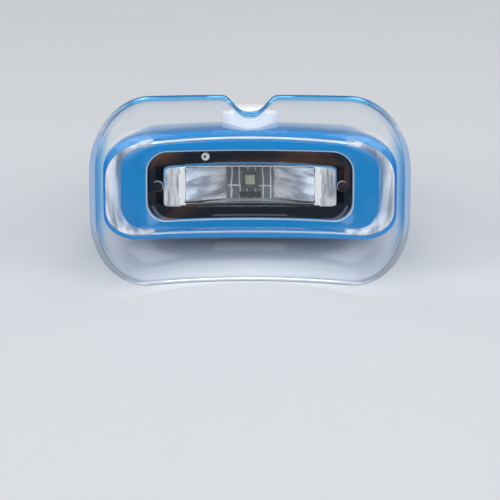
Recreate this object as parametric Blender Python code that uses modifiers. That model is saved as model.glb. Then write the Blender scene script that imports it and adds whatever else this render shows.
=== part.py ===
"""Teeth whitening lamp with a clear face shield, two casing halves, a light window and a battery bay.

The head frame has its origin at the middle of the casing's face: +X to the right, +Y to the tail, +Z up.
The lamp rests on the shield's lower rim and on two foot lands under the tail, so the head frame is tipped
back by the rest angle. The base frame has the same origin and stays level with the floor.
"""
import math

import bmesh
import bpy
from mathutils import Matrix, Vector

MM = 0.001

# Fits
GAP = 0.3 * MM
OVERRUN = 4.0 * MM
MERGE = 0.0005 * MM
SHARP_ANGLE = math.radians(35)

# Clear face shield and its mouth ring
SHIELD_WIDTH = 86.0 * MM
SHIELD_HEIGHT = 52.8 * MM
SHIELD_WALL = 1.5 * MM
SHIELD_CORNER_WIDTH = 15.5 * MM
SHIELD_TOP_CORNER = 19.6 * MM
SHIELD_BOTTOM_CORNER = 20.7 * MM
SHIELD_REACH = 11.0 * MM
SHIELD_MARGIN = 2.0 * MM
SHIELD_OVERHANG = 1.1 * MM
SHIELD_SEAT_GAP = 0.3 * MM
NOTCH_HALF_WIDTH = 7.2 * MM
NOTCH_DEPTH = 4.8 * MM
NOTCH_ROUNDNESS = 1.5
RING_FLOOR_INSET = 5.6 * MM
RING_FLARE = 4.0 * MM
RING_BORDER = 1.2 * MM
RING_LOWER_BORDER = 2.1 * MM
RING_RISE = 3.0 * MM
RING_SIDE_RISE_SHARE = 0.43
RING_CORNER_WIDTH = 8.5 * MM
RING_CORNER_HEIGHT = 9.5 * MM

# Casing
FACE_HEIGHT = 31.0 * MM
FACE_BOW = 18.3 * MM
FACE_CROWN = 1.5 * MM
CASING_WALL = 1.8 * MM
CASING_LENGTH = 46.0 * MM
TAIL_REST_Y = 41.0 * MM
TAIL_REST_DROP = 11.0 * MM
FOOT_HEIGHT = 1.0 * MM

# Window, dark plate and lens block
WINDOW_WIDTH = 58.0 * MM
WINDOW_HEIGHT = 19.4 * MM
WINDOW_CORNER = 5.5 * MM
PLATE_BORDER = 2.0 * MM
PLATE_RECESS = 3.0 * MM
PLATE_WALL = 1.5 * MM
POST_OFFSET = 2.7 * MM
POST_RADIUS = 1.6 * MM
POST_HEIGHT = 0.6 * MM
NUB_RADIUS = 1.2 * MM
NUB_BORE_RADIUS = 0.45 * MM
NUB_X = 12.8 * MM
LENS_WIDTH = 49.0 * MM
LENS_HEIGHT = 12.8 * MM
LENS_CROWN = 0.8 * MM
LENS_CORNER = 1.6 * MM
LENS_WALL = 1.2 * MM
LENS_END = 4.4 * MM
LENS_RISE = 2.7 * MM

# Light unit behind the window
TRAY_WALL = 1.2 * MM
TRAY_DEPTH = 11.5 * MM
LED_BOARD_WIDTH = 13.0 * MM
LED_BOARD_THICKNESS = 1.0 * MM
EMITTER_SIZE = 5.3 * MM
EMITTER_MARGIN_SHARE = 0.5
EMITTER_THICKNESS = 1.2 * MM
EMITTER_DOME_RADIUS = 2.2 * MM
EMITTER_DOME_HEIGHT = 1.1 * MM
RESISTOR_WIDTH = 6.2 * MM
RESISTOR_HEIGHT = 1.6 * MM
RESISTOR_MARGIN_SHARE = 0.17
RESISTOR_THICKNESS = 0.6 * MM
REFLECTOR_THICKNESS = 0.8 * MM
REFLECTOR_SETBACK = 2.0 * MM

# Main board and what it carries
BOARD_WIDTH = 40.0 * MM
BOARD_LENGTH = 22.0 * MM
BOARD_SETBACK = 2.8 * MM
BOARD_THICKNESS = 1.2 * MM
BOARD_HEIGHT = 5.0 * MM
BOARD_SCREW_INSET = 4.0 * MM
SWITCH_SIZE = 6.0 * MM
SWITCH_HEIGHT = 3.5 * MM
PLUNGER_RADIUS = 1.7 * MM
PLUNGER_PROUD = 1.5 * MM
PLUNGER_FLOOR = 0.8 * MM
CHIP_LENGTH = 5.0 * MM
CHIP_WIDTH = 4.0 * MM
CHIP_HEIGHT = 1.5 * MM
INDUCTOR_SIZE = 5.8 * MM
INDUCTOR_HEIGHT = 3.0 * MM
INDUCTOR_EDGE_SHARE = 0.12
CAPACITOR_RADIUS = 2.5 * MM
CAPACITOR_HEIGHT = 5.4 * MM
COMPONENT_INSET = 3.4 * MM

# Power button on top
BUTTON_WIDTH = 17.0 * MM
BUTTON_LENGTH = 20.0 * MM
BUTTON_Y = 23.5 * MM
BUTTON_PROUD = 4.0 * MM
BUTTON_EDGE = 1.0 * MM
BUTTON_CROWN_SHARE = 0.35
BUTTON_FLAT_SHARE = 0.6
BUTTON_FLANGE = 1.2 * MM
BUTTON_SET_DOWN = 1.3 * MM
BUTTON_STEM_RADIUS = 2.2 * MM
BUTTON_TRAVEL = 0.8 * MM

# Batteries, contacts and the door
CELL_DIAMETER = 10.5 * MM
CELL_LENGTH = 44.5 * MM
CELL_NUB_RADIUS = 1.9 * MM
CELL_NUB_HEIGHT = 0.9 * MM
CELL_EDGE = 0.5 * MM
CELL_TAIL_OFFSET = 8.5 * MM
SPRING_LENGTH = 2.6 * MM
SPRING_WIRE_RADIUS = 0.3 * MM
SPRING_SMALL_RADIUS = 1.6 * MM
SPRING_LARGE_RADIUS = 3.2 * MM
CONTACT_THICKNESS = 0.5 * MM
CONTACT_WIDTH = 8.6 * MM
CONTACT_HEIGHT = 8.0 * MM
BAY_WALL = 1.5 * MM
BAY_HEIGHT = 10.0 * MM
DOOR_THICKNESS = 2.2 * MM
DOOR_LEDGE = 1.3 * MM
DOOR_TONGUE = 1.0 * MM
DOOR_TONGUE_THICKNESS = 0.6 * MM
DOOR_RIB_WIDTH = 12.0 * MM
DOOR_RIB_THICKNESS = 0.8 * MM
DOOR_RIB_HEIGHT = 0.45 * MM
DOOR_RIB_PITCH = 2.2 * MM
FOOT_SETBACK = 9.5 * MM
FOOT_LENGTH = 6.5 * MM
FOOT_WIDTH = 3.6 * MM

# Screws
SCREW_RADIUS = 1.1 * MM
SCREW_HEAD_RADIUS = 2.1 * MM
SCREW_HEAD_HEIGHT = 1.3 * MM
SCREW_HEAD_EDGE_SHARE = 0.5
SCREW_GRIP = 5.0 * MM
BOSS_WALL = 0.9 * MM
FRONT_SCREW_X = 33.0 * MM
FRONT_SCREW_Y = 5.5 * MM
REAR_SCREW_Y = 20.0 * MM
SCREW_SEAT = 5.0 * MM

# Wires held inside the casing
WIRE_RADIUS = 0.55 * MM
WIRE_SPACING = 2.6 * MM
WIRE_END = 0.8 * MM

# Counts
FLAT_STEPS = 12
CORNER_STEPS = 5
NOTCH_STEPS = 10
SIDE_STEPS = 4
BOWL_STEPS = 6
SPRING_TURNS = 3
SPRING_POINTS = 10
PATH_STEPS = 5
WIRE_RESOLUTION = 2
BEVEL_STEPS = 2
ROUND_SIDES = 16
RIB_COUNT = 3

# Casing cross sections: place along the casing, bow of the face that is left, width, top, bottom,
# corner width and corner height, each a share of the size that it follows.
CASING_SECTION_SHARES = (
    (0.00, 1.00, 1.000, 1.00, 1.00, 0.22, 0.62),
    (0.12, 0.86, 1.015, 1.06, 1.06, 0.25, 0.64),
    (0.28, 0.62, 1.005, 1.11, 1.12, 0.30, 0.66),
    (0.48, 0.34, 0.970, 1.14, 1.16, 0.30, 0.66),
    (0.70, 0.12, 0.885, 1.12, 1.18, 0.34, 0.68),
    (0.86, 0.03, 0.765, 1.04, 0.96, 0.46, 0.76),
    (0.96, 0.00, 0.550, 0.72, 0.50, 0.72, 0.86),
    (1.00, 0.00, 0.360, 0.42, 0.28, 0.90, 0.95),
)

# Sizes worked out from the ones above
FACE_WIDTH = SHIELD_WIDTH - 2 * SHIELD_MARGIN
FACE_HALF = FACE_WIDTH / 2
FACE_TOP = FACE_HEIGHT / 2
FACE_RADIUS = (FACE_HALF ** 2 + FACE_BOW ** 2) / (2 * FACE_BOW)
BOWL_BASE_TOP = FACE_TOP + SHIELD_OVERHANG
# Shares of the shield's reach and of its flare, from the bowl's base to its rim
BOWL_TURNS = [math.pi / 2 * i / BOWL_STEPS for i in range(BOWL_STEPS + 1)]
BOWL_SHARES = [(1 - math.cos(turn), math.sin(turn)) for turn in BOWL_TURNS]
REST_ANGLE = max(math.atan2(BOWL_BASE_TOP + (SHIELD_HEIGHT / 2 - BOWL_BASE_TOP) * out - TAIL_REST_DROP,
                            SHIELD_REACH * ahead + SHIELD_SEAT_GAP * (1 - ahead) + TAIL_REST_Y)
                 for ahead, out in BOWL_SHARES)
REST_COS = math.cos(REST_ANGLE)
REST_SIN = math.sin(REST_ANGLE)
FLOOR_Z = -TAIL_REST_Y * REST_SIN - TAIL_REST_DROP * REST_COS
REST_Y = TAIL_REST_Y * REST_COS - TAIL_REST_DROP * REST_SIN
BELLY_Z = FLOOR_Z + FOOT_HEIGHT
PLATE_FRONT = CASING_WALL + GAP
PLATE_BACK = PLATE_RECESS + PLATE_WALL
LENS_CAVITY_HALF = LENS_WIDTH / 2 - LENS_END
LENS_CAVITY_TOP = LENS_HEIGHT / 2 - LENS_WALL
TRAY_FLOOR = TRAY_DEPTH - TRAY_WALL
LED_BOARD_BACK = TRAY_FLOOR - GAP
LED_BOARD_FRONT = LED_BOARD_BACK - LED_BOARD_THICKNESS
BOARD_FRONT_Y = TRAY_DEPTH + BOARD_SETBACK
BOARD_TOP = BOARD_HEIGHT + BOARD_THICKNESS
CASING_TOP = FACE_TOP * max(top for _, _, _, top, _, _, _ in CASING_SECTION_SHARES)
BUTTON_TOP = CASING_TOP + BUTTON_PROUD
FLANGE_TOP = CASING_TOP - CASING_WALL - BUTTON_SET_DOWN - GAP
PLUNGER_TOP = BOARD_TOP + GAP + SWITCH_HEIGHT + PLUNGER_PROUD
CELL_RADIUS = CELL_DIAMETER / 2
CELL_Z = BELLY_Z + DOOR_THICKNESS + GAP + CELL_RADIUS
REAR_CELL_Y = REST_Y - CELL_TAIL_OFFSET
FRONT_CELL_Y = REAR_CELL_Y - CELL_DIAMETER - 2 * GAP
CELL_SHIFT = (SPRING_LENGTH + GAP) / 2
CONTACT_INNER_X = CELL_LENGTH / 2 + CELL_SHIFT + GAP
BAY_HALF = CONTACT_INNER_X + CONTACT_THICKNESS + GAP
BAY_FRONT_Y = FRONT_CELL_Y - CELL_RADIUS - GAP
BAY_BACK_Y = REAR_CELL_Y + CELL_RADIUS + GAP
DOOR_HALF = BAY_HALF + DOOR_LEDGE
DOOR_FRONT_Y = BAY_FRONT_Y - DOOR_LEDGE
TONGUE_HALF = DOOR_HALF + DOOR_TONGUE
TONGUE_LOW = BELLY_Z + (DOOR_THICKNESS - DOOR_TONGUE_THICKNESS) / 2
TONGUE_HIGH = TONGUE_LOW + DOOR_TONGUE_THICKNESS
BAY_FRAME_HALF = TONGUE_HALF + BAY_WALL
FOOT_INNER_X = BAY_FRAME_HALF - GAP
REAR_SCREW_X = BAY_FRAME_HALF + SCREW_HEAD_RADIUS + GAP
SCREW_PLACES = [(side * x, y) for x, y in ((FRONT_SCREW_X, FRONT_SCREW_Y), (REAR_SCREW_X, REAR_SCREW_Y))
                for side in (-1, 1)]
FOOT_BACK_Y = REST_Y - FOOT_SETBACK
LED_WIRE_Z = LENS_CAVITY_TOP - WIRE_RADIUS - 2 * GAP
LENS_RISE_LINE = PLATE_RECESS - GAP - LENS_RISE + LENS_WALL + REFLECTOR_SETBACK
BOSS_RADIUS = SCREW_HEAD_RADIUS + GAP + BOSS_WALL
BOARD_BOSS_RADIUS = SCREW_RADIUS + GAP + BOSS_WALL
HOLE_RADIUS = SCREW_RADIUS + GAP
SCREW_SEAT_Z = SCREW_SEAT - FACE_TOP
BOARD_SCREW_X = BOARD_WIDTH / 2 - BOARD_SCREW_INSET


def bow(x):
    """How far the bowed face comes forward at a distance x from the middle."""
    return FACE_RADIUS - math.sqrt(max(FACE_RADIUS ** 2 - x * x, 0))


def to_base(y, z):
    """Head frame to base frame."""
    return y * REST_COS + z * REST_SIN, -y * REST_SIN + z * REST_COS


def to_head(y, z):
    """Base frame to head frame."""
    return y * REST_COS - z * REST_SIN, y * REST_SIN + z * REST_COS


def belly_line(y):
    """Height in the head frame of the casing's flat underside, level with the floor."""
    return (BELLY_Z + y * REST_SIN) / REST_COS


for scene_object in list(bpy.data.objects):
    bpy.data.objects.remove(scene_object, do_unlink=True)

PARTS = bpy.data.collections.new("teeth_whitening_lamp")
CUTTERS = bpy.data.collections.new("cutters")
for new_collection in (PARTS, CUTTERS):
    bpy.context.scene.collection.children.link(new_collection)


def empty(name, parent=None, angle=0.0):
    """A frame for the parts under it, tipped about X by an angle."""
    holder = bpy.data.objects.new(name, None)
    PARTS.objects.link(holder)
    holder.parent = parent
    holder.rotation_euler = (angle, 0, 0)
    return holder


ROOT = empty("lamp_root")
HEAD = empty("head_frame", ROOT, -REST_ANGLE)
BASE = empty("base_frame", ROOT)


def material(name, color, roughness, metallic=0.0, alpha=1.0):
    """A Principled material."""
    finish = bpy.data.materials.new(name)
    finish.use_nodes = True
    shader = finish.node_tree.nodes["Principled BSDF"]
    shader.inputs["Base Color"].default_value = (*color, 1.0)
    shader.inputs["Roughness"].default_value = roughness
    shader.inputs["Metallic"].default_value = metallic
    shader.inputs["Alpha"].default_value = alpha
    return finish


CASING_BLUE = material("casing_blue", (0.005, 0.22, 0.58), 0.18)
CLEAR = material("clear_acrylic", (0.86, 0.90, 0.93), 0.05, alpha=0.35)
DARK_MIRROR = material("dark_mirror", (0.02, 0.02, 0.022), 0.08, metallic=0.9)
SILVER = material("silvered_plastic", (0.72, 0.73, 0.75), 0.15, metallic=1.0)
GREY_TRAY = material("tray_grey", (0.30, 0.31, 0.33), 0.4)
BUTTON_WHITE = material("button_white", (0.86, 0.86, 0.87), 0.35)
BOARD_GREEN = material("board_green", (0.02, 0.16, 0.06), 0.45)
EMITTER_YELLOW = material("emitter_body", (0.75, 0.74, 0.60), 0.35)
CHIP_BLACK = material("chip_black", (0.02, 0.02, 0.02), 0.5)
STEEL = material("plated_steel", (0.60, 0.60, 0.60), 0.25, metallic=1.0)
CELL_JACKET = material("cell_jacket", (0.10, 0.11, 0.12), 0.35, metallic=0.3)
WIRE_RED = material("wire_red", (0.55, 0.02, 0.02), 0.45)
WIRE_BLACK = material("wire_black", (0.02, 0.02, 0.02), 0.45)


def place(thing, parent, finish=None):
    """Put an object in its collection: the part's own, or the cutters' when it has no finish."""
    for user in list(thing.users_collection):
        user.objects.unlink(thing)
    thing.parent = parent
    if finish is None:
        CUTTERS.objects.link(thing)
        thing.hide_render = True
        thing.display_type = "WIRE"
    else:
        PARTS.objects.link(thing)
        thing.data.materials.clear()
        thing.data.materials.append(finish)
    return thing


def from_bmesh(name, shape, parent, finish=None, smooth=True):
    """Finish a bmesh as an object whose faces point outwards."""
    bmesh.ops.recalc_face_normals(shape, faces=shape.faces)
    if shape.calc_volume(signed=True) < 0:
        bmesh.ops.reverse_faces(shape, faces=shape.faces)
    mesh = bpy.data.meshes.new(name)
    shape.to_mesh(mesh)
    shape.free()
    if smooth:
        mesh.shade_smooth()
        mesh.set_sharp_from_angle(angle=SHARP_ANGLE)
    return place(bpy.data.objects.new(name, mesh), parent, finish)


def box(name, low, high, parent, finish=None, bevel=0.0):
    """A box between two corners."""
    low = Vector(low)
    high = Vector(high)
    shape = bmesh.new()
    bmesh.ops.create_cube(shape, size=1.0)
    bmesh.ops.scale(shape, vec=high - low, verts=shape.verts)
    if bevel > 0:
        bmesh.ops.bevel(shape, geom=shape.edges[:], offset=bevel, segments=BEVEL_STEPS,
                        profile=0.5, affect="EDGES", clamp_overlap=True)
    thing = from_bmesh(name, shape, parent, finish, smooth=False)
    thing.location = (low + high) / 2
    return thing


def cylinder(name, radius, low, high, parent, finish=None, x=0.0, y=0.0):
    """An upright cylinder from low to high."""
    shape = bmesh.new()
    bmesh.ops.create_cone(shape, cap_ends=True, segments=ROUND_SIDES, radius1=radius, radius2=radius,
                          depth=high - low, matrix=Matrix.Translation((0, 0, (low + high) / 2)))
    thing = from_bmesh(name, shape, parent, finish)
    thing.location = (x, y, 0)
    return thing


def boolean(thing, operation, cutter):
    """One exact Boolean step on an object."""
    step = thing.modifiers.new(cutter.name, "BOOLEAN")
    step.operation = operation
    step.solver = "EXACT"
    step.object = cutter


def cut(thing, *cutters):
    for cutter in cutters:
        boolean(thing, "DIFFERENCE", cutter)


def join(thing, *pieces):
    for piece in pieces:
        boolean(thing, "UNION", piece)


def flat_places(flat_half, notch_half):
    """Places across the straight stretch of an outline, closer together over the nose notch."""
    if notch_half <= 0:
        return [flat_half * (2 * i / FLAT_STEPS - 1) for i in range(FLAT_STEPS + 1)]
    side = [-flat_half + (flat_half - notch_half) * i / SIDE_STEPS for i in range(SIDE_STEPS)]
    middle = [notch_half * (2 * i / NOTCH_STEPS - 1) for i in range(NOTCH_STEPS + 1)]
    return side + middle + [-x for x in reversed(side)]


def outline(half, top, bottom, corner, corner_top, corner_bottom, crown=0.0, notch_half=0.0, notch=0.0):
    """Stations (x, low z, high z) across a rounded outline, from left to right."""
    flat_half = half - corner
    quarter = [math.pi / 2 * i / CORNER_STEPS for i in range(1, CORNER_STEPS + 1)]
    right = [(flat_half + corner * math.sin(a), 1 - math.cos(a)) for a in quarter]
    places = [(-x, drop) for x, drop in reversed(right)]
    places += [(x, 0.0) for x in flat_places(flat_half, notch_half)]
    places += right
    stations = []
    for x, drop in places:
        arch = crown * (x / half) ** 2
        dip = 0.0
        if abs(x) < notch_half:
            dip = notch * math.cos(math.pi / 2 * (abs(x) / notch_half) ** NOTCH_ROUNDNESS) ** 2
        low = -bottom + (corner_bottom - crown) * drop + arch
        high = top - (corner_top - crown) * drop - arch - dip
        stations.append((x, low, high))
    return stations


def section(stations, y, bow_share=1.0, floor=None, stand_off=0.0):
    """Points round one outline, with its depth following the bowed face.

    The stand-off is measured square to the face, and the depth y along the Y axis.
    """
    upper = []
    lower = []
    for x, low, high in stations:
        slant = FACE_RADIUS / (FACE_RADIUS - bow(x))
        depth = y - stand_off * slant - bow_share * bow(x)
        upper.append(Vector((x, depth, high)))
        lower.append(Vector((x, depth, low if floor is None else max(low, floor(depth)))))
    return upper + lower[::-1]


def loft(name, sections, parent, finish=None, capped=True):
    """A skin through outlines with equal numbers of points, closed at both ends by strips.

    Without the strips the last outline is the first one again, so the skin closes on itself.
    Its faces are triangles, because a Boolean step needs them flat.
    """
    shape = bmesh.new()
    rings = [[shape.verts.new(point) for point in ring] for ring in sections]
    if not capped:
        for vert in rings.pop():
            shape.verts.remove(vert)
        rings.append(rings[0])
    count = len(rings[0])
    for near, far in zip(rings, rings[1:]):
        for i in range(count):
            j = (i + 1) % count
            shape.faces.new((near[i], near[j], far[j], far[i]))
    if capped:
        for ring in (rings[0], rings[-1]):
            for i in range(count // 2 - 1):
                shape.faces.new((ring[i], ring[i + 1], ring[count - 2 - i], ring[count - 1 - i]))
    bmesh.ops.triangulate(shape, faces=shape.faces)
    return from_bmesh(name, shape, parent, finish)


def slab(name, stations, front, back, parent=HEAD, finish=None, back_bow_share=1.0):
    """A plate of one outline between two depths, bowed like the face."""
    return loft(name, [section(stations, front), section(stations, back, back_bow_share)], parent, finish)


def turned(name, profile, parent, finish=None, sides=ROUND_SIDES):
    """A solid turned about its own Z axis from (radius, height) points, listed from top to bottom."""
    mesh = bpy.data.meshes.new(name)
    edges = [(i, i + 1) for i in range(len(profile) - 1)]
    mesh.from_pydata([(radius, 0, height) for radius, height in profile], edges, [])
    thing = place(bpy.data.objects.new(name, mesh), parent, finish)
    turn = thing.modifiers.new("turn", "SCREW")
    turn.steps = sides
    turn.render_steps = sides
    turn.use_merge_vertices = True
    turn.merge_threshold = MERGE
    turn.use_smooth_shade = False
    return thing


def peg(name, radius, front, back, x, z, finish=None):
    """A short cylinder along the head frame's Y axis."""
    half = (back - front) / 2
    thing = cylinder(name, radius, -half, half, HEAD, finish)
    thing.location = (x, (front + back) / 2, z)
    thing.rotation_euler = (math.pi / 2, 0, 0)
    return thing


def wire(name, points, parent, finish, radius=WIRE_RADIUS):
    """A round wire along straight runs between points."""
    curve = bpy.data.curves.new(name, "CURVE")
    curve.dimensions = "3D"
    curve.bevel_depth = radius
    curve.bevel_resolution = WIRE_RESOLUTION
    curve.use_fill_caps = True
    run = curve.splines.new("POLY")
    run.points.add(len(points) - 1)
    for point, spot in zip(run.points, points):
        point.co = (*spot, 1.0)
    return place(bpy.data.objects.new(name, curve), parent, finish)


def smooth_path(points):
    """A smooth line through chosen points, as Catmull-Rom stretches."""
    spots = [Vector(point) for point in points]
    spots = [2 * spots[0] - spots[1]] + spots + [2 * spots[-1] - spots[-2]]
    path = []
    for a, b, c, d in zip(spots, spots[1:], spots[2:], spots[3:]):
        for i in range(PATH_STEPS):
            t = i / PATH_STEPS
            path.append(0.5 * (2 * b + (c - a) * t + (2 * a - 5 * b + 4 * c - d) * t ** 2
                               + (3 * b - a - 3 * c + d) * t ** 3))
    path.append(spots[-2])
    return path


def casing_form(name, side, inset=0.0, finish=None):
    """The upper (side 1) or lower (side -1) half of the casing's outer form.

    Drawn in by a wall, the form is the hollow of that half, and it runs on past the parting plane.
    """
    sections = []
    parting = side * GAP / 2 if inset == 0 else -side * OVERRUN
    for along, bow_share, width, top, bottom, corner, corner_height in CASING_SECTION_SHARES:
        half = FACE_HALF * width - inset
        high = FACE_TOP * top - inset
        low = FACE_TOP * bottom - inset
        stations = outline(half, high, low, half * corner, high * corner_height, low * corner_height,
                           FACE_CROWN)
        if side > 0:
            stations = [(x, parting, z) for x, _, z in stations]
        else:
            stations = [(x, z, parting) for x, z, _ in stations]
        depth = inset + along * (CASING_LENGTH - 2 * inset)
        sections.append(section(stations, depth, bow_share,
                                lambda y: belly_line(y) + inset / REST_COS))
    return loft(name, sections, HEAD, finish)


def window_slab(name, half, top, corner, front, back, finish=None):
    """A plate with round corners that follows the bowed face between two depths."""
    stations = outline(half, top, top, corner, corner, corner)
    return slab(name, stations, front, back, HEAD, finish)


def make_casings():
    """Both casing halves: outer forms less their hollows, which leave room for the screw bosses."""
    upper = casing_form("upper_casing", 1, 0.0, CASING_BLUE)
    lower = casing_form("lower_casing", -1, 0.0, CASING_BLUE)
    upper_cavity = casing_form("upper_cavity", 1, CASING_WALL)
    lower_cavity = casing_form("lower_cavity", -1, CASING_WALL)
    beyond = CASING_TOP + OVERRUN
    for i, (x, y) in enumerate(SCREW_PLACES):
        cut(upper_cavity, cylinder(f"upper_boss_{i}", BOSS_RADIUS, -2 * OVERRUN, beyond, HEAD, x=x, y=y))
        cut(lower_cavity, cylinder(f"lower_boss_{i}", BOSS_RADIUS, -beyond, 2 * OVERRUN, HEAD, x=x, y=y))
    for side in (-1, 1):
        cut(upper_cavity, cylinder(f"board_boss_{side}", BOARD_BOSS_RADIUS, BOARD_TOP + GAP, beyond, HEAD,
                                   x=side * BOARD_SCREW_X, y=BUTTON_Y))
    cut(lower_cavity, box("bay_frame", (-BAY_FRAME_HALF, BAY_FRONT_Y - BAY_WALL, BELLY_Z - OVERRUN),
                          (BAY_FRAME_HALF, BAY_BACK_Y + BAY_WALL, BELLY_Z + BAY_HEIGHT), BASE))
    window = window_slab("window_opening", WINDOW_WIDTH / 2, WINDOW_HEIGHT / 2, WINDOW_CORNER,
                         -OVERRUN, CASING_WALL + GAP)
    cut(upper, upper_cavity, window)
    cut(lower, lower_cavity, window)
    cut_button_hole(upper)
    cut_screw_holes(upper, lower)
    cut_battery_bay(lower)
    for side in (-1, 1):
        ends = sorted((side * FOOT_INNER_X, side * (FOOT_INNER_X + FOOT_WIDTH)))
        join(lower, box(f"foot_{side}", (ends[0], FOOT_BACK_Y - FOOT_LENGTH, FLOOR_Z),
                        (ends[1], FOOT_BACK_Y, BELLY_Z + CASING_WALL + GAP), BASE))


def cut_button_hole(upper):
    """The oval hole for the power button in the top of the casing."""
    radius = BUTTON_WIDTH / 2 + GAP
    above = CASING_TOP + OVERRUN
    hole = turned("button_hole", [(0, above), (radius, above), (radius, FLANGE_TOP), (0, FLANGE_TOP)], HEAD)
    hole.location = (0, BUTTON_Y, 0)
    hole.scale = (1, (BUTTON_LENGTH / 2 + GAP) / radius, 1)
    cut(upper, hole)


def cut_screw_holes(upper, lower):
    """Pilot holes in the upper half, and counterbored holes in the lower half."""
    for i, (x, y) in enumerate(SCREW_PLACES):
        cut(upper, cylinder(f"pilot_{i}", HOLE_RADIUS, -OVERRUN, SCREW_GRIP + GAP, HEAD, x=x, y=y))
        cut(lower, cylinder(f"shank_hole_{i}", HOLE_RADIUS, -FACE_HEIGHT, OVERRUN, HEAD, x=x, y=y))
        cut(lower, cylinder(f"counterbore_{i}", SCREW_HEAD_RADIUS + GAP, -FACE_HEIGHT, SCREW_SEAT_Z, HEAD,
                            x=x, y=y))
    for side in (-1, 1):
        cut(upper, cylinder(f"board_pilot_{side}", HOLE_RADIUS, BOARD_HEIGHT, BOARD_TOP + SCREW_GRIP + GAP,
                            HEAD, x=side * BOARD_SCREW_X, y=BUTTON_Y))


def cut_battery_bay(lower):
    """The bay for the cells, and the slot with its side grooves that the door slides in."""
    beyond = CASING_LENGTH + OVERRUN
    cut(lower, box("bay_cut", (-BAY_HALF, BAY_FRONT_Y, BELLY_Z - OVERRUN),
                   (BAY_HALF, BAY_BACK_Y, BELLY_Z + BAY_HEIGHT + OVERRUN), BASE))
    cut(lower, box("door_slot", (-DOOR_HALF - GAP, DOOR_FRONT_Y - GAP, BELLY_Z - OVERRUN),
                   (DOOR_HALF + GAP, beyond, BELLY_Z + DOOR_THICKNESS + GAP), BASE))
    cut(lower, box("tongue_slot", (-TONGUE_HALF - GAP, DOOR_FRONT_Y + DOOR_LEDGE - GAP, TONGUE_LOW - GAP),
                   (TONGUE_HALF + GAP, beyond, TONGUE_HIGH + GAP), BASE))


def make_door():
    """The sliding door: a piece of the lower half's own outer form, with side tongues and grip ribs."""
    door = casing_form("battery_door", -1, 0.0, CASING_BLUE)
    form = box("door_form", (-DOOR_HALF, DOOR_FRONT_Y, BELLY_Z - OVERRUN),
               (DOOR_HALF, CASING_LENGTH + OVERRUN, BELLY_Z + DOOR_THICKNESS), BASE)
    join(form, box("door_tongue", (-TONGUE_HALF, DOOR_FRONT_Y + DOOR_LEDGE, TONGUE_LOW),
                   (TONGUE_HALF, BAY_BACK_Y, TONGUE_HIGH), BASE))
    boolean(door, "INTERSECT", form)
    for i in range(RIB_COUNT):
        back = BAY_BACK_Y - i * DOOR_RIB_PITCH
        low = (-DOOR_RIB_WIDTH / 2, back - DOOR_RIB_THICKNESS, BELLY_Z - DOOR_RIB_HEIGHT)
        high = (DOOR_RIB_WIDTH / 2, back, BELLY_Z + DOOR_THICKNESS / 2)
        join(door, box(f"door_rib_{i}", low, high, BASE))


def make_shield():
    """One clear moulding, drawn round its own cross section.

    The skin runs down the outside of the mouth ring, out over the casing's border, up the bowl to the rim,
    back down behind the bowl, in behind the border and up the inside of the ring.
    """
    ring_half = FACE_HALF - RING_FLOOR_INSET
    ring_top = FACE_TOP - RING_BORDER
    ring_bottom = FACE_TOP - RING_LOWER_BORDER
    ring_rise = 1 + RING_SIDE_RISE_SHARE

    def ring_outline(inset, flare):
        corner = RING_CORNER_HEIGHT - inset
        return outline(ring_half + flare - inset, ring_top - inset, ring_bottom - inset,
                       RING_CORNER_WIDTH - inset, corner, corner, FACE_CROWN, NOTCH_HALF_WIDTH)

    def bowl(inset, stand_off):
        rings = []
        for ahead, out in BOWL_SHARES:
            half = FACE_HALF + SHIELD_OVERHANG + (SHIELD_MARGIN - SHIELD_OVERHANG) * out - inset
            top = BOWL_BASE_TOP + (SHIELD_HEIGHT / 2 - BOWL_BASE_TOP) * out - inset
            corner, corner_top, corner_bottom = (
                ring + (rim - ring) * out - inset
                for ring, rim in ((RING_CORNER_WIDTH, SHIELD_CORNER_WIDTH),
                                  (RING_CORNER_HEIGHT, SHIELD_TOP_CORNER),
                                  (RING_CORNER_HEIGHT, SHIELD_BOTTOM_CORNER)))
            stations = outline(half, top, top, corner, corner_top, corner_bottom, FACE_CROWN * (1 - out),
                               NOTCH_HALF_WIDTH, NOTCH_DEPTH * out)
            rings.append(section(stations, -SHIELD_REACH * ahead, stand_off=stand_off * (1 - ahead)))
        return rings

    front = SHIELD_SEAT_GAP + SHIELD_WALL
    sections = [section(ring_outline(0.0, RING_FLARE), -RING_RISE, ring_rise, stand_off=front),
                section(ring_outline(0.0, 0.0), 0.0, stand_off=front)]
    sections += bowl(SHIELD_WALL, front)
    sections += reversed(bowl(0.0, SHIELD_SEAT_GAP))
    sections += [section(ring_outline(SHIELD_WALL, 0.0), 0.0, stand_off=SHIELD_SEAT_GAP),
                 section(ring_outline(SHIELD_WALL, RING_FLARE), -RING_RISE, ring_rise, stand_off=front)]
    loft("face_shield", sections + sections[:1], HEAD, CLEAR, capped=False)


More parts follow.
